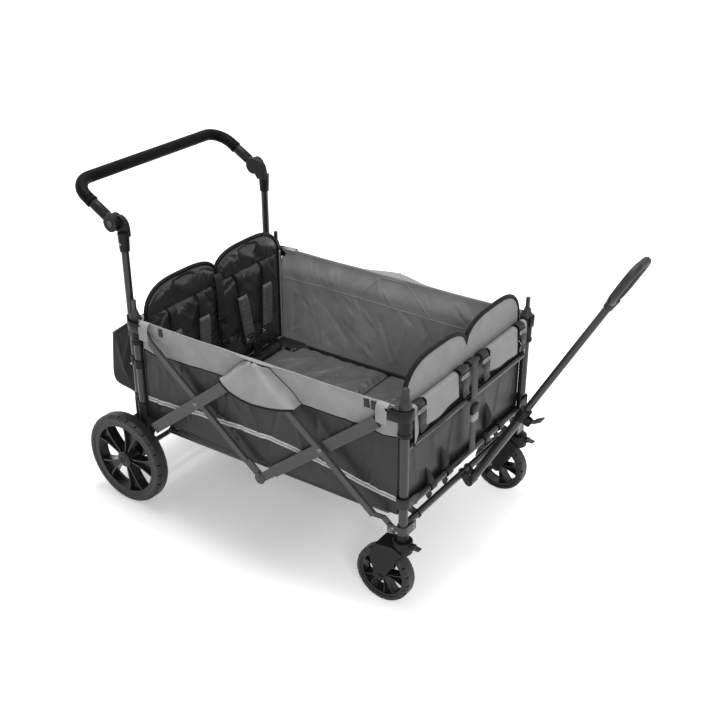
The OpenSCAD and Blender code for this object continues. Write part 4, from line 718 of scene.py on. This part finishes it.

# Side cloths: a black lower panel with a doubled reflective tape, and a light band above it, sewn to a grey
# lining. Each hangs between the corner slides of its side; the real cloth gathers up between them when the
# wagon folds, but here it rides on the rear slides.
cloth_from, cloth_to, cloth_low, cloth_high, cloth_out, cloth_lean = 19.6, 897.4, 277.5, 607, 323.5, 12
tape_silver = finish("tape_silver", (0.5, 0.5, 0.5), (0.6, 0.6, 0.6), 0.01, 0.4, [("pores", 0.0012, 0.00008)])
tape_grey = finish("tape_grey", (0.2, 0.2, 0.2), (0.26, 0.26, 0.26), 0.01, 0.5, [("weave", 0.0011, 0.00008)])
lining_cloth = finish("lining_cloth", (0.30, 0.30, 0.303), (0.34, 0.34, 0.343), 0.08, 0.5,
                      [("weave", 0.0011, 0.00007), ("grain", 0.005, 0.0003)], specular=0.3, sheen=0.08)
cloth_creases = [(70, 480, 62, 300, 9, 2.6), (118, 470, 96, 300, 8, -2.2), (180, 460, 300, 330, 11, 2.4),
                 (330, 500, 300, 320, 10, -2.4), (400, 480, 470, 300, 10, 2.6), (520, 500, 470, 330, 9, -2.4),
                 (560, 500, 610, 300, 10, 3.0), (640, 510, 640, 330, 9, -2.8), (700, 500, 650, 320, 9, 2.6),
                 (760, 490, 860, 300, 10, 2.8), (830, 520, 800, 320, 8, -2.6), (872, 500, 868, 300, 7, 2.8),
                 (250, 420, 420, 300, 12, 1.8), (600, 400, 760, 300, 12, 2.0), (150, 600, 130, 500, 7, 1.6),
                 (235, 590, 205, 520, 7, -1.4), (700, 600, 760, 530, 8, 1.6), (640, 560, 700, 600, 7, 1.2),
                 (840, 600, 800, 530, 8, 1.8), (350, 600, 300, 545, 7, 1.2), (560, 600, 600, 540, 7, 1.4)]
crumple = np.random.default_rng(11)
for _ in range(80):
    a, b, reach, turn = crumple.uniform((40, 295, 35, -1.0), (877, 545, 100, 1.0))
    width, height = crumple.uniform((4.5, 0.9), (8.0, 2.3))
    cloth_creases.append((a, b, a + reach * math.sin(turn), b + reach * math.cos(turn), width,
                          height * crumple.choice((-1, 1))))


def cloth_face(x, z):
    """How far the outer side of a side cloth stands from the middle plane, in millimetres."""
    along = np.clip((x - cloth_from) / (cloth_to - cloth_from), 0, 1)
    up = np.clip((z - cloth_low) / (cloth_high - cloth_low), 0, 1)
    waves = 0.6 + 0.4 * np.sin(2 * math.pi * (5 * along + 0.35 * up))
    hang = np.sin(math.pi * along) * np.sin(math.pi * up) * waves
    ends = ease(along * 14) * ease((1 - along) * 14)
    rims = 0.25 + 0.75 * ease((1 - up) * 9) * ease(up * 7)
    lean = cloth_lean * ease((z - 530) / 72)
    ripple = ends * creases(x, z, cloth_creases) + 0.5 * np.sin(x / 19 + z / 31)
    return cloth_out + lean + 3.6 * hang + rims * ripple


def tape_line(x):
    line = np.interp(x, (20, 86, 240, 468, 650, 851, 898), (346, 348, 361, 368, 355, 328, 322))
    return line + 1.6 * np.sin(x / 27)


def band_edge(x):
    return np.interp(x, (20, 59, 130, 347, 594, 794, 850, 898), (511, 503, 507, 514, 511, 513, 504, 512))


def cloth_top(x):
    return cloth_high - 2.5 * np.sin(2 * math.pi * (x - cloth_from) / (cloth_to - cloth_from))**2


hub_z, swell_reach = 589, 130


def hub_swell(x):
    """The share by which the hem is pushed out over the top hub of the scissor bars."""
    return ease(1 - np.abs(x - hub_x) / swell_reach)


def hem_out(x):
    return 1.0 + 20 * hub_swell(x)


def hem_up(x):
    return 0.6 + 4.4 * hub_swell(x)


row_lines = [lambda x: cloth_low + 0 * x, lambda x: tape_line(x) - 7.5, lambda x: tape_line(x) - 2.2,
             lambda x: tape_line(x) + 2.2, lambda x: tape_line(x) + 7.5, band_edge, cloth_top]
row_counts = (14, 1, 1, 1, 28, 18)
row_finishes = (0, 1, 2, 1, 0, 3)
across = np.linspace(cloth_from, cloth_to, 181)
heights, row_made = [], []
for (low, high), count, made in zip(zip(row_lines, row_lines[1:]), row_counts, row_finishes):
    heights += [low(across) + (high(across) - low(across)) * k / count for k in range(count)]
    row_made += [made] * count
hem_steps = np.arange(1, 4) / 3
row_made += [3] * len(hem_steps)
cloth_z = np.stack(heights + [cloth_top(across)], 1)
cloth_x = np.repeat(across[:, None], cloth_z.shape[1] + len(hem_steps), 1)
cloth_y = cloth_face(cloth_x[:, :cloth_z.shape[1]], cloth_z)
cloth_y = np.concatenate([cloth_y, cloth_y[:, -1:] + hem_out(across)[:, None] * hem_steps], 1)
cloth_z = np.concatenate([cloth_z, cloth_z[:, -1:] + hem_up(across)[:, None] * hem_steps], 1)
lining_rise = np.concatenate([np.zeros(cloth_z.shape[1] - len(hem_steps)), 1.6 * hem_steps])


def folding(piece):
    """Gives a piece of the side its own copy of its mesh."""
    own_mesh(piece)
    return piece


dome_x = (346, 365, 395, 425, 458, 490, 530, 565, 594)
dome_z = (531, 556, 584, 604, 612.5, 604, 572, 543, 511)
lining_seam_z = 509
for side, s in (("right", -1), ("left", 1)):
    points, faces = lined(spread(cloth_x, s * cloth_y, cloth_z),
                          spread(cloth_x, s * (cloth_y - 2.4), cloth_z + lining_rise))
    panel = keep("side_cloth_" + side, points, faces,
                 [black_nylon, tape_silver, tape_grey, light_cloth, lining_cloth], "rear_top")
    count = (cloth_z.shape[0] - 1) * (cloth_z.shape[1] - 1)
    which = np.full(len(faces), 4, np.int32)
    which[:count] = np.tile(row_made, cloth_z.shape[0] - 1)
    which[2 * count:] = 0
    panel.data.polygons.foreach_set("material_index", which)
    outward(panel)
    if s < 0:
        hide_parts("side_cloths")
    folding(panel)

    # Seams: the cord under the band, the hem, the lining's cross seam and the edge of the hub pocket
    run = np.linspace(cloth_from + 4, cloth_to - 4, 120)
    hem_y = cloth_face(run, cloth_top(run)) + hem_out(run) - 1
    pocket = np.linspace(347, 593, 60)
    pocket_z = np.minimum(np.interp(pocket, dome_x, dome_z), 598)
    cords = [tube(spread(run, s * (cloth_face(run, band_edge(run)) + 0.4), band_edge(run)), 0.0016),
             tube(spread(run, s * hem_y, cloth_top(run) + hem_up(run)), 0.0022),
             tube(spread(run, s * (cloth_face(run, lining_seam_z + 0 * run) - 2.6),
                         lining_seam_z + 3 * np.sin(run / 140)), 0.0011, 6),
             tube(spread(pocket, s * (cloth_face(pocket, pocket_z) - 2.6), pocket_z), 0.0011, 6)]
    seams = keep("side_seams_" + side, *gathered(cords), [piping, light_cloth, lining_cloth], "rear_top")
    cord_made = np.repeat([0, 1, 2, 2], [len(faces) for _, faces in cords])
    seams.data.polygons.foreach_set("material_index", cord_made.astype(np.int32))
    folding(seams)

# Hub flaps: each side has a domed flap of the light cloth that covers the top hub of the scissor bars. It is
# sewn to the band round its curved edge and stands away from it over the bars, with thick piping below.
flap_from, flap_to, flap_out = 346.5, 593.5, 42.5
bar_run, bar_drop, wide_bar_half, slim_bar_half, hub_r, far_off = 432.5, 348, 18.5, 11, 19.5, 999


def flap_low(x):
    return np.interp(x, (346, 362, 390, 430, 470, 520, 560, 594), (531, 520, 508, 500, 497, 499, 504, 511))


def bar_room(x, z):
    """Distance from the upper ends of the two bars and their hub, in millimetres."""
    span = math.hypot(bar_run, bar_drop)
    rising = np.abs((z - hub_z) * bar_run - (x - hub_x) * bar_drop) / span - wide_bar_half
    falling = np.abs((z - hub_z) * bar_run + (x - hub_x) * bar_drop) / span - slim_bar_half
    rising = np.where(x < hub_x, rising, far_off)
    falling = np.where(x > hub_x, falling, far_off)
    return np.maximum(np.min([rising, falling, np.hypot(x - hub_x, z - hub_z) - hub_r], axis=0), 0)


t = np.linspace(0, 1, 91)
flap_x = flap_from + (flap_to - flap_from) * (0.75 * (0.5 - 0.5 * np.cos(math.pi * t)) + 0.25 * t)
flap_x = np.repeat(flap_x[:, None], 33, 1)
seam_x = np.linspace(flap_from, flap_to, 400)
seam_z = np.interp(seam_x, dome_x, dome_z)
seam_z = np.convolve(np.pad(seam_z, 12, mode="edge"), np.ones(25) / 25, mode="valid")
top_z = np.interp(flap_x, seam_x, seam_z)
flap_z = flap_low(flap_x) + (top_z - flap_low(flap_x)) * np.linspace(0, 1, 33)[None, :]**0.8
away = np.min(np.hypot(flap_x[..., None] - seam_x, flap_z[..., None] - seam_z), -1)
room = bar_room(flap_x, flap_z)
tight = away / np.maximum(away + room, 1e-6)
stand = tight.copy()
fullness = 0.0005
for _ in range(1500):
    eased = np.pad(stand, 1, mode="edge")
    eased = (eased[:-2, 1:-1] + eased[2:, 1:-1] + eased[1:-1, :-2] + eased[1:-1, 2:]) / 4 + fullness
    stand = np.where(away < 1, tight, np.where(room <= 0, np.maximum(eased, 1), eased))
flap_creases = [(400, 590, 380, 525, 8, 2.0), (450, 600, 455, 520, 10, 1.6), (500, 590, 520, 522, 9, 2.2),
                (545, 560, 560, 525, 7, 1.8), (425, 600, 418, 522, 7, -1.6)]
ripple = creases(flap_x, flap_z, flap_creases)
for side, s in (("right", -1), ("left", 1)):
    lip = (hem_out(flap_x) - 1.8) * ease((flap_z - 596) / 10)
    base = cloth_face(flap_x, np.minimum(flap_z, cloth_high)) + 0.6 + lip
    out = np.maximum(base, base + (cloth_out + flap_out + ripple - base) * stand)
    points, faces = lined(spread(flap_x, s * (out + 1.2), flap_z), spread(flap_x, s * (out - 0.8), flap_z))
    flap = outward(keep("hub_flap_" + side, points, faces, light_cloth, "rear_top"))
    folding(flap)
    lower = spread(flap_x[:, 0], s * (out[:, 0] + 0.4), flap_z[:, 0] - 1)
    seam = spread(flap_x[:, -1], s * (out[:, -1] + 0.9), flap_z[:, -1])
    cords = gathered([tube(lower, 0.0036, 10), tube(seam, 0.0009, 6)])
    cord = keep("hub_flap_piping_" + side, *cords, piping, "rear_top")
    folding(cord)

# Floor hems: narrow strips of black cloth turned in along the foot of each side and under each seat back,
# which close the tub round the mats. Along the sides the strips' black is painted shade for the dark gap
# where the grey lining meets the mat. At the corners the side strips widen to cover the floor hinges.
hem_outer_y, hem_inner_y, corner_cover = 320.4, 313.2, 50
for side, s in (("right", -1), ("left", 1)):
    hem_x = np.concatenate([np.linspace(cloth_from, 118, 16), np.linspace(125, 792, 60),
                            np.linspace(799, cloth_to, 16)])
    corner = 1 - ease((hem_x - 112) / 8) * ease((805 - hem_x) / 8)
    inner_y = hem_inner_y - corner_cover * corner
    t = np.linspace(0, 1, 5)[None, :]
    hem_y = hem_outer_y + (inner_y[:, None] - hem_outer_y) * t
    lap = corner[:, None]
    hem_z = (1 - lap) * (283 - 21 * t**2) + lap * (288.8 - 1.5 * np.sin(math.pi * t))
    points, faces = lined(spread(hem_x[:, None], s * hem_y, hem_z),
                          spread(hem_x[:, None], s * hem_y, hem_z - 1.4))
    # Black cloth here is painted shade for the gap between the mat and the lining
    hem = outward(keep("floor_hem_" + side, points, faces, black_nylon, "rear_top"))
    folding(hem)
lap_path = np.array([(24, 295), (38, 293), (50, 290.5), (55.6, 287), (57.4, 280), (57.7, 264)])
lap_y = np.linspace(-266, 266, 41)[:, None]
lap_x, lap_z = lap_path[None, :, 0] + 0 * lap_y, lap_path[None, :, 1] + 0.8 * np.sin(lap_y / 21)
lap_shape = lined(spread(lap_x, lap_y, lap_z), spread(lap_x - 1.2, lap_y, lap_z - 1.0))


def fitted(name, end, shapes, made, body):
    """One piece for an end of the wagon, out of shapes drawn at the rear."""
    points, faces = gathered(shapes)
    piece = outward(keep(end + name, at_end(end, points), faces, made, body))
    return piece


for end in ("rear", "front"):
    lap = fitted("_floor_lap", end, [lap_shape], black_nylon, end + "_top")

# Corner gussets: upright strips that close each corner of the tub between the side cloth and the seat back.
# They are black outside and lined within, and their upper part is of the light cloth.
gusset_path = np.array([(19.6, 321.4), (18, 316.5), (16.2, 309.5), (15, 300)])
gusset_lip = np.array([(13.4, 323.6), (16.6, 323.1), (19.8, 322.4)])
gusset_z = np.linspace(281, 603, 42)
for end in ("rear", "front"):
    shapes, which = [], []
    for s in sides:
        outer = spread(gusset_path[:, None, 0], s * gusset_path[:, None, 1], gusset_z)
        inner = spread(gusset_path[:, None, 0] + 1, s * (gusset_path[:, None, 1] - 0.8), gusset_z)
        shapes.append(lined(outer, inner))
        count = (len(gusset_path) - 1) * (len(gusset_z) - 1)
        high = np.tile(gusset_z[:-1] > 508, len(gusset_path) - 1).astype(np.int32)
        which += list(high) + [2] * count + [2] * (len(shapes[-1][1]) - 2 * count)
        lip_z = gusset_z[gusset_z < 522]
        outer = spread(gusset_lip[:, None, 0], s * gusset_lip[:, None, 1], lip_z)
        shapes.append(lined(outer, outer + (0.0006, -s * 0.0012, 0)))
        which += [0] * len(shapes[-1][1])
    points, faces = gathered(shapes)
    gusset = keep(end + "_corner_gussets", at_end(end, points), faces,
                  [black_nylon, light_cloth, lining_cloth], end + "_top")
    gusset.data.polygons.foreach_set("material_index", which)
    outward(gusset)


# Corner straps: a loop of the light cloth drops over each bar end at the corners, beside black tabs sewn to
# the band. A moulded black band goes round the outside of every corner collar and hides the bar's pivot.
def bent(points, count=8):
    """A smooth path in metres through points in millimetres."""
    knots = np.asarray(points, float)
    knots = np.concatenate([[2 * knots[0] - knots[1]], knots, [2 * knots[-1] - knots[-2]]])
    path = []
    for a, b, c, d in zip(knots, knots[1:], knots[2:], knots[3:]):
        for t in np.linspace(0, 1, count, endpoint=False):
            path.append(0.5 * (2 * b + (c - a) * t + (2 * a - 5 * b + 4 * c - d) * t**2
                               + (3 * b - a - 3 * c + d) * t**3))
    path = np.array(path + [knots[-2]])
    return spread(path[:, 0], path[:, 1], path[:, 2])


def strap(points, across, width, thick, count=8):
    """Webbing of a width and a thickness in millimetres along a smooth path."""
    w, t = width / 2000, thick / 2000
    ring = [(-w, -t * 0.4), (-w * 0.95, -t), (w * 0.95, -t), (w, -t * 0.4), (w, t * 0.4), (w * 0.95, t),
            (-w * 0.95, t), (-w, t * 0.4)]
    return swept(bent(points, count), ring, across)


webbing = finish("webbing", (0.011, 0.011, 0.0115), (0.018, 0.018, 0.0185), 0.02, 0.5,
                 [("weave", 0.0013, 0.00018)], specular=0.35, sheen=0.04)
loop_path = ((330, 605), (338, 611), (348, 608), (353.4, 596), (353.6, 575), (353, 557))
band_path = ((43, 352.6), (24, 353), (6, 352.2), (-9, 346.5), (-18.5, 336), (-20.6, 323), (-18, 311))
for end in ("rear", "front"):
    loops, tabs, bands = [], [], []
    for s in sides:
        loops.append(strap([(54, s * y, z) for y, z in loop_path], (1, 0, 0), 34, 1.8))
        for a, b in ((76, 95), (101, 117)) if end == "front" else ((98, 112),):
            tabs.append(strap([(a, s * (cloth_face(a, 590) + 0.9), 590),
                               (b, s * (cloth_face(b, 590) + 0.9), 589)], (0, 0, 1), 25, 2.4, 3))
        bands.append(strap([(x, s * y, collar_screw_z) for x, y in band_path], (0, 0, 1), 30, 2.6))
    fitted("_corner_loops", end, loops, light_cloth, end + "_top")
    points, faces = gathered(tabs)
    tab = outward(keep(end + "_corner_tabs", at_end(end, points), faces, webbing, "rear_top"))
    folding(tab)
    fitted("_corner_bands", end, bands, black_moulding, end + "_top")

# Peg boots: soft dark rubber sleeves pushed on at the foot of the canopy pegs. The one at the front right is
# a long taper that covers its peg to the tip.
long_boot = [(0.0165, 0), (0.0176, 0.006), (0.0142, 0.021), (0.0106, 0.039), (0.0095, 0.049), (0.0101, 0.053),
             (0.0087, 0.0585), (0.0025, 0.0615)]
short_boot = [(0.0165, 0), (0.0174, 0.004), (0.0124, 0.015), (0.0096, 0.025), (0.0088, 0.0285),
              (0.0066, 0.029)]
boot_foot_z, post_y = 601.2, 325.5
boot_rubber = finish("boot_rubber", (0.03, 0.03, 0.031), (0.045, 0.045, 0.046), 0.02, 0.5,
                     [("grain", 0.0009, 0.00008)], specular=0.3)
for end, x, right_boot in (("rear", 0, short_boot), ("front", post_gap, long_boot)):
    boots = [turned(boot, here(x, s * post_y, boot_foot_z), (0, 0, 1), 24)
             for s, boot in ((-1, right_boot), (1, short_boot))]
    keep(end + "_peg_boots", *gathered(boots), boot_rubber, end + "_top")

# End panels: a dark sheet closes each end below the top bar, with three slits whose tabs stand out. Light
# flaps with bound edges fold over the bar, and black webbing with bar buckles ties the seat back to it.
top_bar_z, beside_bar_z = 588, 578


def over_bar(y, inner_z, outer_z, r):
    """Points of a path up the inside of the top bar, over it at a radius and down the outside."""
    arc = [(r * math.cos(a), y, top_bar_z + r * math.sin(a)) for a in np.radians((25, 58, 90, 122, 155))]
    return ([(r * 0.98, y, inner_z), (r * 0.98, y, beside_bar_z)] + arc
            + [(-r, y, beside_bar_z), (-r - 0.8, y, (beside_bar_z + outer_z) / 2), (-r - 0.4, y, outer_z)])


def moulded(centre, half):
    """A small moulded block that faces along x: a softened rectangle, drawn in at both faces."""
    turn = np.linspace(0, 2 * math.pi, 28, endpoint=False)
    soft_y = np.sign(np.cos(turn)) * np.abs(np.cos(turn))**0.4
    soft_z = np.sign(np.sin(turn)) * np.abs(np.sin(turn))**0.4
    points = []
    levels = ((-1, 0.84), (-0.7, 0.98), (0.7, 0.98), (1, 0.84))
    for level, share in levels:
        points += [here(centre[0] + half[0] * level, centre[1] + half[1] * share * a,
                        centre[2] + half[2] * share * b) for a, b in zip(soft_y, soft_z)]
    return points, skin(len(levels), len(turn))


def bar_buckle(x, y, z, half_w, half_h, thick=1.5):
    """A bent wire buckle for webbing, with its middle bar."""
    corners = [(0, 1), (0.8, 1), (1, 0.7), (1, -0.7), (0.8, -1), (-0.8, -1), (-1, -0.7), (-1, 0.7), (-0.8, 1),
               (0, 1)]
    edge = bent([(x, y + half_w * a, z + half_h * b) for a, b in corners], 4)
    middle = bent([(x, y - half_w, z), (x, y + half_w, z)], 2)
    return gathered([tube(edge, thick / 1000), tube(middle, thick / 1000)])


panel_cloth = finish("panel_cloth", (0.014, 0.014, 0.015), (0.02, 0.02, 0.021), 0.08, 0.4,
                     [("weave", 0.0011, 0.00004), ("grain", 0.014, 0.0006)], specular=0.28, sheen=0.02)
dark_wire = finish("dark_wire", (0.2, 0.2, 0.2), (0.3, 0.3, 0.3), 0.01, 0.3,
                   [("grain", 0.0005, 0.00002)], metal=1.0)
buckle_clip = finish("buckle_clip", (0.3, 0.3, 0.305), (0.36, 0.36, 0.365), 0.02, 0.4,
                     [("grain", 0.0008, 0.00005)])
panel_y, panel_z = np.meshgrid(np.linspace(-304, 304, 81), np.linspace(292, 566, 47), indexing="ij")
slack = np.maximum(ease((panel_z - 314) / 34) * ease((472 - panel_z) / 30), ease((panel_z - 496) / 24))
panel_creases = [(-270, 470, -240, 320, 9, 3.4), (-180, 470, -150, 330, 10, 3.0),
                 (-60, 465, -100, 320, 9, 3.4), (40, 470, 20, 330, 9, -2.4), (90, 470, 140, 330, 10, 3.2),
                 (200, 465, 170, 330, 9, 3.0), (270, 470, 250, 320, 8, 3.4),
                 (-200, 560, -180, 500, 8, 2.4), (180, 560, 200, 500, 8, 2.4)]
slit_tabs = ((-128, 318, 402, 22), (-203, 306, 372, 20), (112, 330, 428, 22))
bar_flaps = ((-247, -84, 524, 6), (84, 247, 524, -6), (-305, -285, 505, 16), (285, 305, 505, -16))
panel_x = 12.2 - slack * (2.2 + creases(panel_y, panel_z, panel_creases) + 0.8 * np.sin(panel_y / 31))
panel_shape = lined(spread(panel_x - 1, panel_y, panel_z), spread(panel_x + 1, panel_y, panel_z))
for end in ("rear", "front"):
    body = end + "_top"
    panel = fitted("_panel_cloth", end, [panel_shape], panel_cloth, body)
    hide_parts(end + "_panel")

    # Tabs that stand out of the slits
    leaves = []
    for y, low, high, reach in slit_tabs:
        t, u = np.meshgrid(np.linspace(0, 1, 19), np.linspace(0, 1, 7), indexing="ij")
        out = reach * np.sin(math.pi * t**0.75)**1.2 * u
        leaf_y = y + 9 * np.sin(math.pi * t) * u**2
        leaf_z = low + (high - low) * t - 5 * u
        leaves.append(lined(spread(9.6 - out, leaf_y + 0.8, leaf_z), spread(9.6 - out, leaf_y - 0.8, leaf_z)))
    fitted("_slit_tabs", end, leaves, panel_cloth, body)

    # Flaps over the bar, with bound edges
    flaps, bindings = [], []
    for y_from, y_to, low, slant in bar_flaps:
        across = np.linspace(y_from, y_to, 21 if y_to - y_from > 50 else 7)[:, None]
        layers = []
        for r in (12.9, 11.1):
            path = bent(over_bar(0, 566, low, r), 6)
            grid = np.repeat(path[None], len(across), 0)
            hang = ease((top_bar_z - grid[..., 2] * 1000) / (top_bar_z - low)) * (grid[..., 0] < rear_x)
            share = (across - y_from) / (y_to - y_from) - 0.5
            grid[..., 1] = across / 1000
            grid[..., 0] -= hang * (1.2 + 1.8 * np.sin(across / 17)) / 1000
            grid[..., 2] += hang * (slant * 2 * share - 5 * np.cos(math.pi * share)) / 1000
            layers.append(grid)
        flaps.append(lined(*layers))
        edge = (layers[0] + layers[1]) / 2
        first = int(np.argmax(edge[0, :, 0] < rear_x))
        bound = np.concatenate([edge[0, first:], edge[1:-1, -1], edge[-1, first:][::-1]])
        bindings.append(tube(bound, 0.0022))
    flap = fitted("_bar_flaps", end, flaps, light_cloth, body)
    fitted("_flap_bindings", end, bindings, piping, body)

    # Webbing loops with bar buckles, and the strap with its buckle down the middle
    webs, wires = [], []
    for y in (-272, -57, 57, 272):
        webs.append(strap(over_bar(y, 550, 560, 13.8), (0, 1, 0), 33, 1.7))
        webs.append(strap([(-15.5, y + 3, 572), (-18.5, y + 4, 556), (-17, y + 5, 536), (-20, y + 7, 520)],
                          (0, 1, 0), 32, 1.7))
        wires.append(bar_buckle(-16.6, y, 580, 18, 4.5, 1.8))
    middle_strap = over_bar(0, 556, 560, 13.8)
    middle_strap += [(-15, 0, 530), (-15.4, 1, 500), (-13.8, 2, 484), (-15.5, 3, 462)]
    webs.append(strap(middle_strap, (0, 1, 0), 34, 1.7))
    webs.append(strap([(-15.5, 4, 420), (-14.5, 4, 385), (-14, 5, 335), (-15, 6, 318)], (0, 1, 0), 32, 1.7))
    fitted("_bar_webbing", end, webs, webbing, body)
    fitted("_bar_buckles", end, wires, dark_wire, body)
    socket = [moulded((-16.5, 4, 454), (5.5, 19, 15))]
    fitted("_buckle_socket", end, socket, black_moulding, body)
    tongue = [moulded((-16.5, 4, 428), (5, 18, 12)), moulded((-16.5, 4, 439), (3.4, 12, 6))]
    fitted("_buckle_tongue", end, tongue, buckle_clip, body)

# Foot straps: webbing loops round the lower crossbars that hold the foot of the panel down, each with a loose
# tail. At the front a wider band goes round each post as well.
crossbar_z, crossbar_round, post_round = 304, 12.4, 18
for end in ("rear", "front"):
    foot = []
    for y in (-188, -104, 104, 188):
        ring = [(crossbar_round * math.cos(a), y, crossbar_z + crossbar_round * math.sin(a))
                for a in np.radians(range(60, 361, 50))]
        foot.append(strap(ring + [(13, y + 2, 290), (9, y + 3, 272), (4, y + 6, 262)], (0, 1, 0), 25, 1.8))
    if end == "front":
        for s in sides:
            turn = [(post_round * math.cos(a), s * (post_y + post_round * math.sin(a)), 328)
                    for a in np.radians(range(-30, 231, 29))]
            foot.append(strap(turn + [(-16, s * 301, 327), (-17.5, s * 284, 322)], (0, 0, 1), 30, 2.8))
    fitted("_foot_straps", end, foot, webbing, end + "_frame")

# Harness: two shoulder straps to a seat come through slots in the seat back and carry quilted grey pads; they
# run down to a moulded buckle at the seat. A wide strap with a slide covers the channel between the lobes.
harness_grey = finish("harness_grey", (0.085, 0.085, 0.087), (0.115, 0.115, 0.117), 0.03, 0.55,
                      [("weave", 0.0011, 0.0001), ("grain", 0.004, 0.0002)], specular=0.3, sheen=0.08)
for end in ("rear", "front"):
    body = end + "_top"
    webs, wires, pads, blocks = [], [], [], []
    for seat in sides:
        seat_mid = seat * seat_half / 2
        for lean in sides:
            top_y = seat_mid + lean * 62
            foot_y = seat_mid + lean * 30
            swing = -26 if (end, seat, lean) == ("rear", 1, -1) else 6 * lean
            webs.append(strap([(26, top_y, 606), (36, top_y, 602), (42.5, top_y, 591),
                               (44.5, top_y - swing * 0.1, 565), (45.5, top_y - swing * 0.5, 475),
                               (46, top_y - swing, 392), (47, (top_y + foot_y) / 2, 368), (49, foot_y, 348)],
                              (0, 1, 0), 30, 1.8))
            u, v = np.meshgrid(np.linspace(-1, 1, 13), np.linspace(0, 1, 46), indexing="ij")
            round_off = (1 - u**6)**0.5 * (1 - (2 * v - 1)**10)**0.5
            pad_y = top_y - swing * (1 - v) + (24 - 2 * (1 - round_off)) * u
            pad_z = 386 + 144 * v
            quilt = 0.9 * np.abs(np.sin(math.pi * v * 8)) + 0.5 * np.abs(np.sin(2 * math.pi * u))
            pads.append(lined(spread(47.2 + (6.2 + quilt) * round_off, pad_y, pad_z),
                              spread(46.8 - 0.2 * round_off, pad_y, pad_z)))
            wires.append(bar_buckle(49.5, (top_y - swing + foot_y) / 2 + lean * 4, 372, 17, 9, 1.7))
        blocks.append(moulded((50, seat_mid, 338), (6, 24, 20)))
        blocks.append(moulded((52, seat_mid, 338), (6, 9, 9)))
        webs.append(strap([(43, seat_mid, 296), (47, seat_mid, 306), (49, seat_mid, 326)], (0, 1, 0), 38, 2))
    webs.append(strap([(27, 0, 634), (33, 0, 622), (37, 0, 590), (39, 0, 540), (38, 1, 480), (39, 2, 430),
                       (42, 3, 404)], (0, 1, 0), 32, 1.8))
    webs.append(strap([(41, 2, 472), (46, 3, 455), (46, 4, 430), (42, 3, 412)], (0, 1, 0), 30, 1.8))
    blocks += [moulded((41.5, 1, z), (3, 21, 5)) for z in (488, 470)]
    blocks.append(moulded((45, 3, 402), (5, 17, 13)))
    harness = fitted("_harness_webbing", end, webs, webbing, body)
    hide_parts(end + "_harness")
    pad = fitted("_shoulder_pads", end, pads, harness_grey, body)
    fitted("_harness_buckles", end, blocks, black_moulding, body)
    fitted("_harness_adjusters", end, wires, dark_wire, body)

# Storage basket: a sagging black nylon bag hung behind the uprights, open above, with a bound rim and webbing
# loops round the uprights.
bag_profile = [(-45, 573), (-45, 500), (-46, 400), (-50, 332), (-62, 321), (-100, 327), (-140, 333),
               (-156, 347), (-158, 372), (-152, 430), (-146, 480), (-143, 501)]
bag_half = 288
outline = (bent([(x, 0, z) for x, z in bag_profile], 5) - (rear_x, 0, 0)) * 1000
bag_y = np.linspace(-bag_half, bag_half, 61)
low_share = ease((480 - outline[:, 2]) / 150)[None, :]
sag = 6 * np.cos(math.pi * bag_y / (2 * bag_half))[:, None] * low_share
sag = sag + 2 * np.sin(bag_y / 23)[:, None] * low_share
bag_x = outline[None, :, 0] - 3 * np.sin(bag_y / 37 + 1)[:, None] * ease((-60 - outline[:, 0]) / 40)[None, :]
bag_z = outline[None, :, 2] - np.where(outline[None, :, 2] < 360, sag, 0)
inner_x = bag_x + np.where(outline[None, :, 0] < -100, 2.2, -2.2)
inner_z = bag_z + 2.2 * ease((360 - outline[:, 2]) / 20)[None, :]
shell = [lined(spread(bag_x, bag_y[:, None], bag_z), spread(inner_x, bag_y[:, None], inner_z))]
wall_creases = [(-60, 540, -110, 380, 9, 3), (-130, 500, -90, 350, 9, 2.5)]
u, v = np.meshgrid(np.linspace(0, 1, 25), np.linspace(0, 1, 25), indexing="ij")
for s in sides:
    wall_low = np.interp(u, (0, 0.06, 0.15, 0.5, 0.85, 1), (345, 328, 322, 327, 335, 352))
    wall_high = 573 - 72 * u
    wall_z = wall_low + (wall_high - wall_low) * v
    back_x = np.interp(wall_z, (340, 372, 430, 501, 573), (-156, -158, -152, -143, -143))
    wall_x = -45 + (back_x + 45) * u
    wall_y = bag_half + 5 * np.sin(math.pi * u) * np.sin(math.pi * v) + creases(wall_x, wall_z, wall_creases)
    shell.append(lined(spread(wall_x, s * wall_y, wall_z), spread(wall_x, s * (wall_y - 2.2), wall_z)))
bag_points, bag_faces = gathered(shell)
basket_nylon = finish("basket_nylon", (0.0025, 0.0025, 0.0027), (0.0045, 0.0045, 0.0048), 0.07, 0.42,
                      [("weave", 0.0012, 0.00005), ("grain", 0.014, 0.0006)], specular=0.12)
bag = outward(keep("basket_cloth", bag_points, bag_faces, basket_nylon, "rear_frame"))
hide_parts("storage_basket")
rim = [(-45, y, 574) for y in np.linspace(-286, 286, 20)] + [(-94, 289, 538)]
rim += [(-143, y, 502) for y in np.linspace(286, -286, 20)] + [(-94, -289, 538), (-46, -286, 574)]
loop_round = ((-46, 288), (-40, 300), (-42, 312), (-34, 324.5), (-20, 324), (-16.5, 312), (-22, 300),
              (-38, 296))
basket_loops = [strap([(x, s * y, z) for x, y in loop_round], (0, 0, 1), 25, 1.8)
                for s in sides for z in (335, 550)]
points, faces = gathered([tube(bent(rim, 2), 0.003)] + basket_loops)
outward(keep("basket_rim", points, faces, webbing, "rear_frame"))
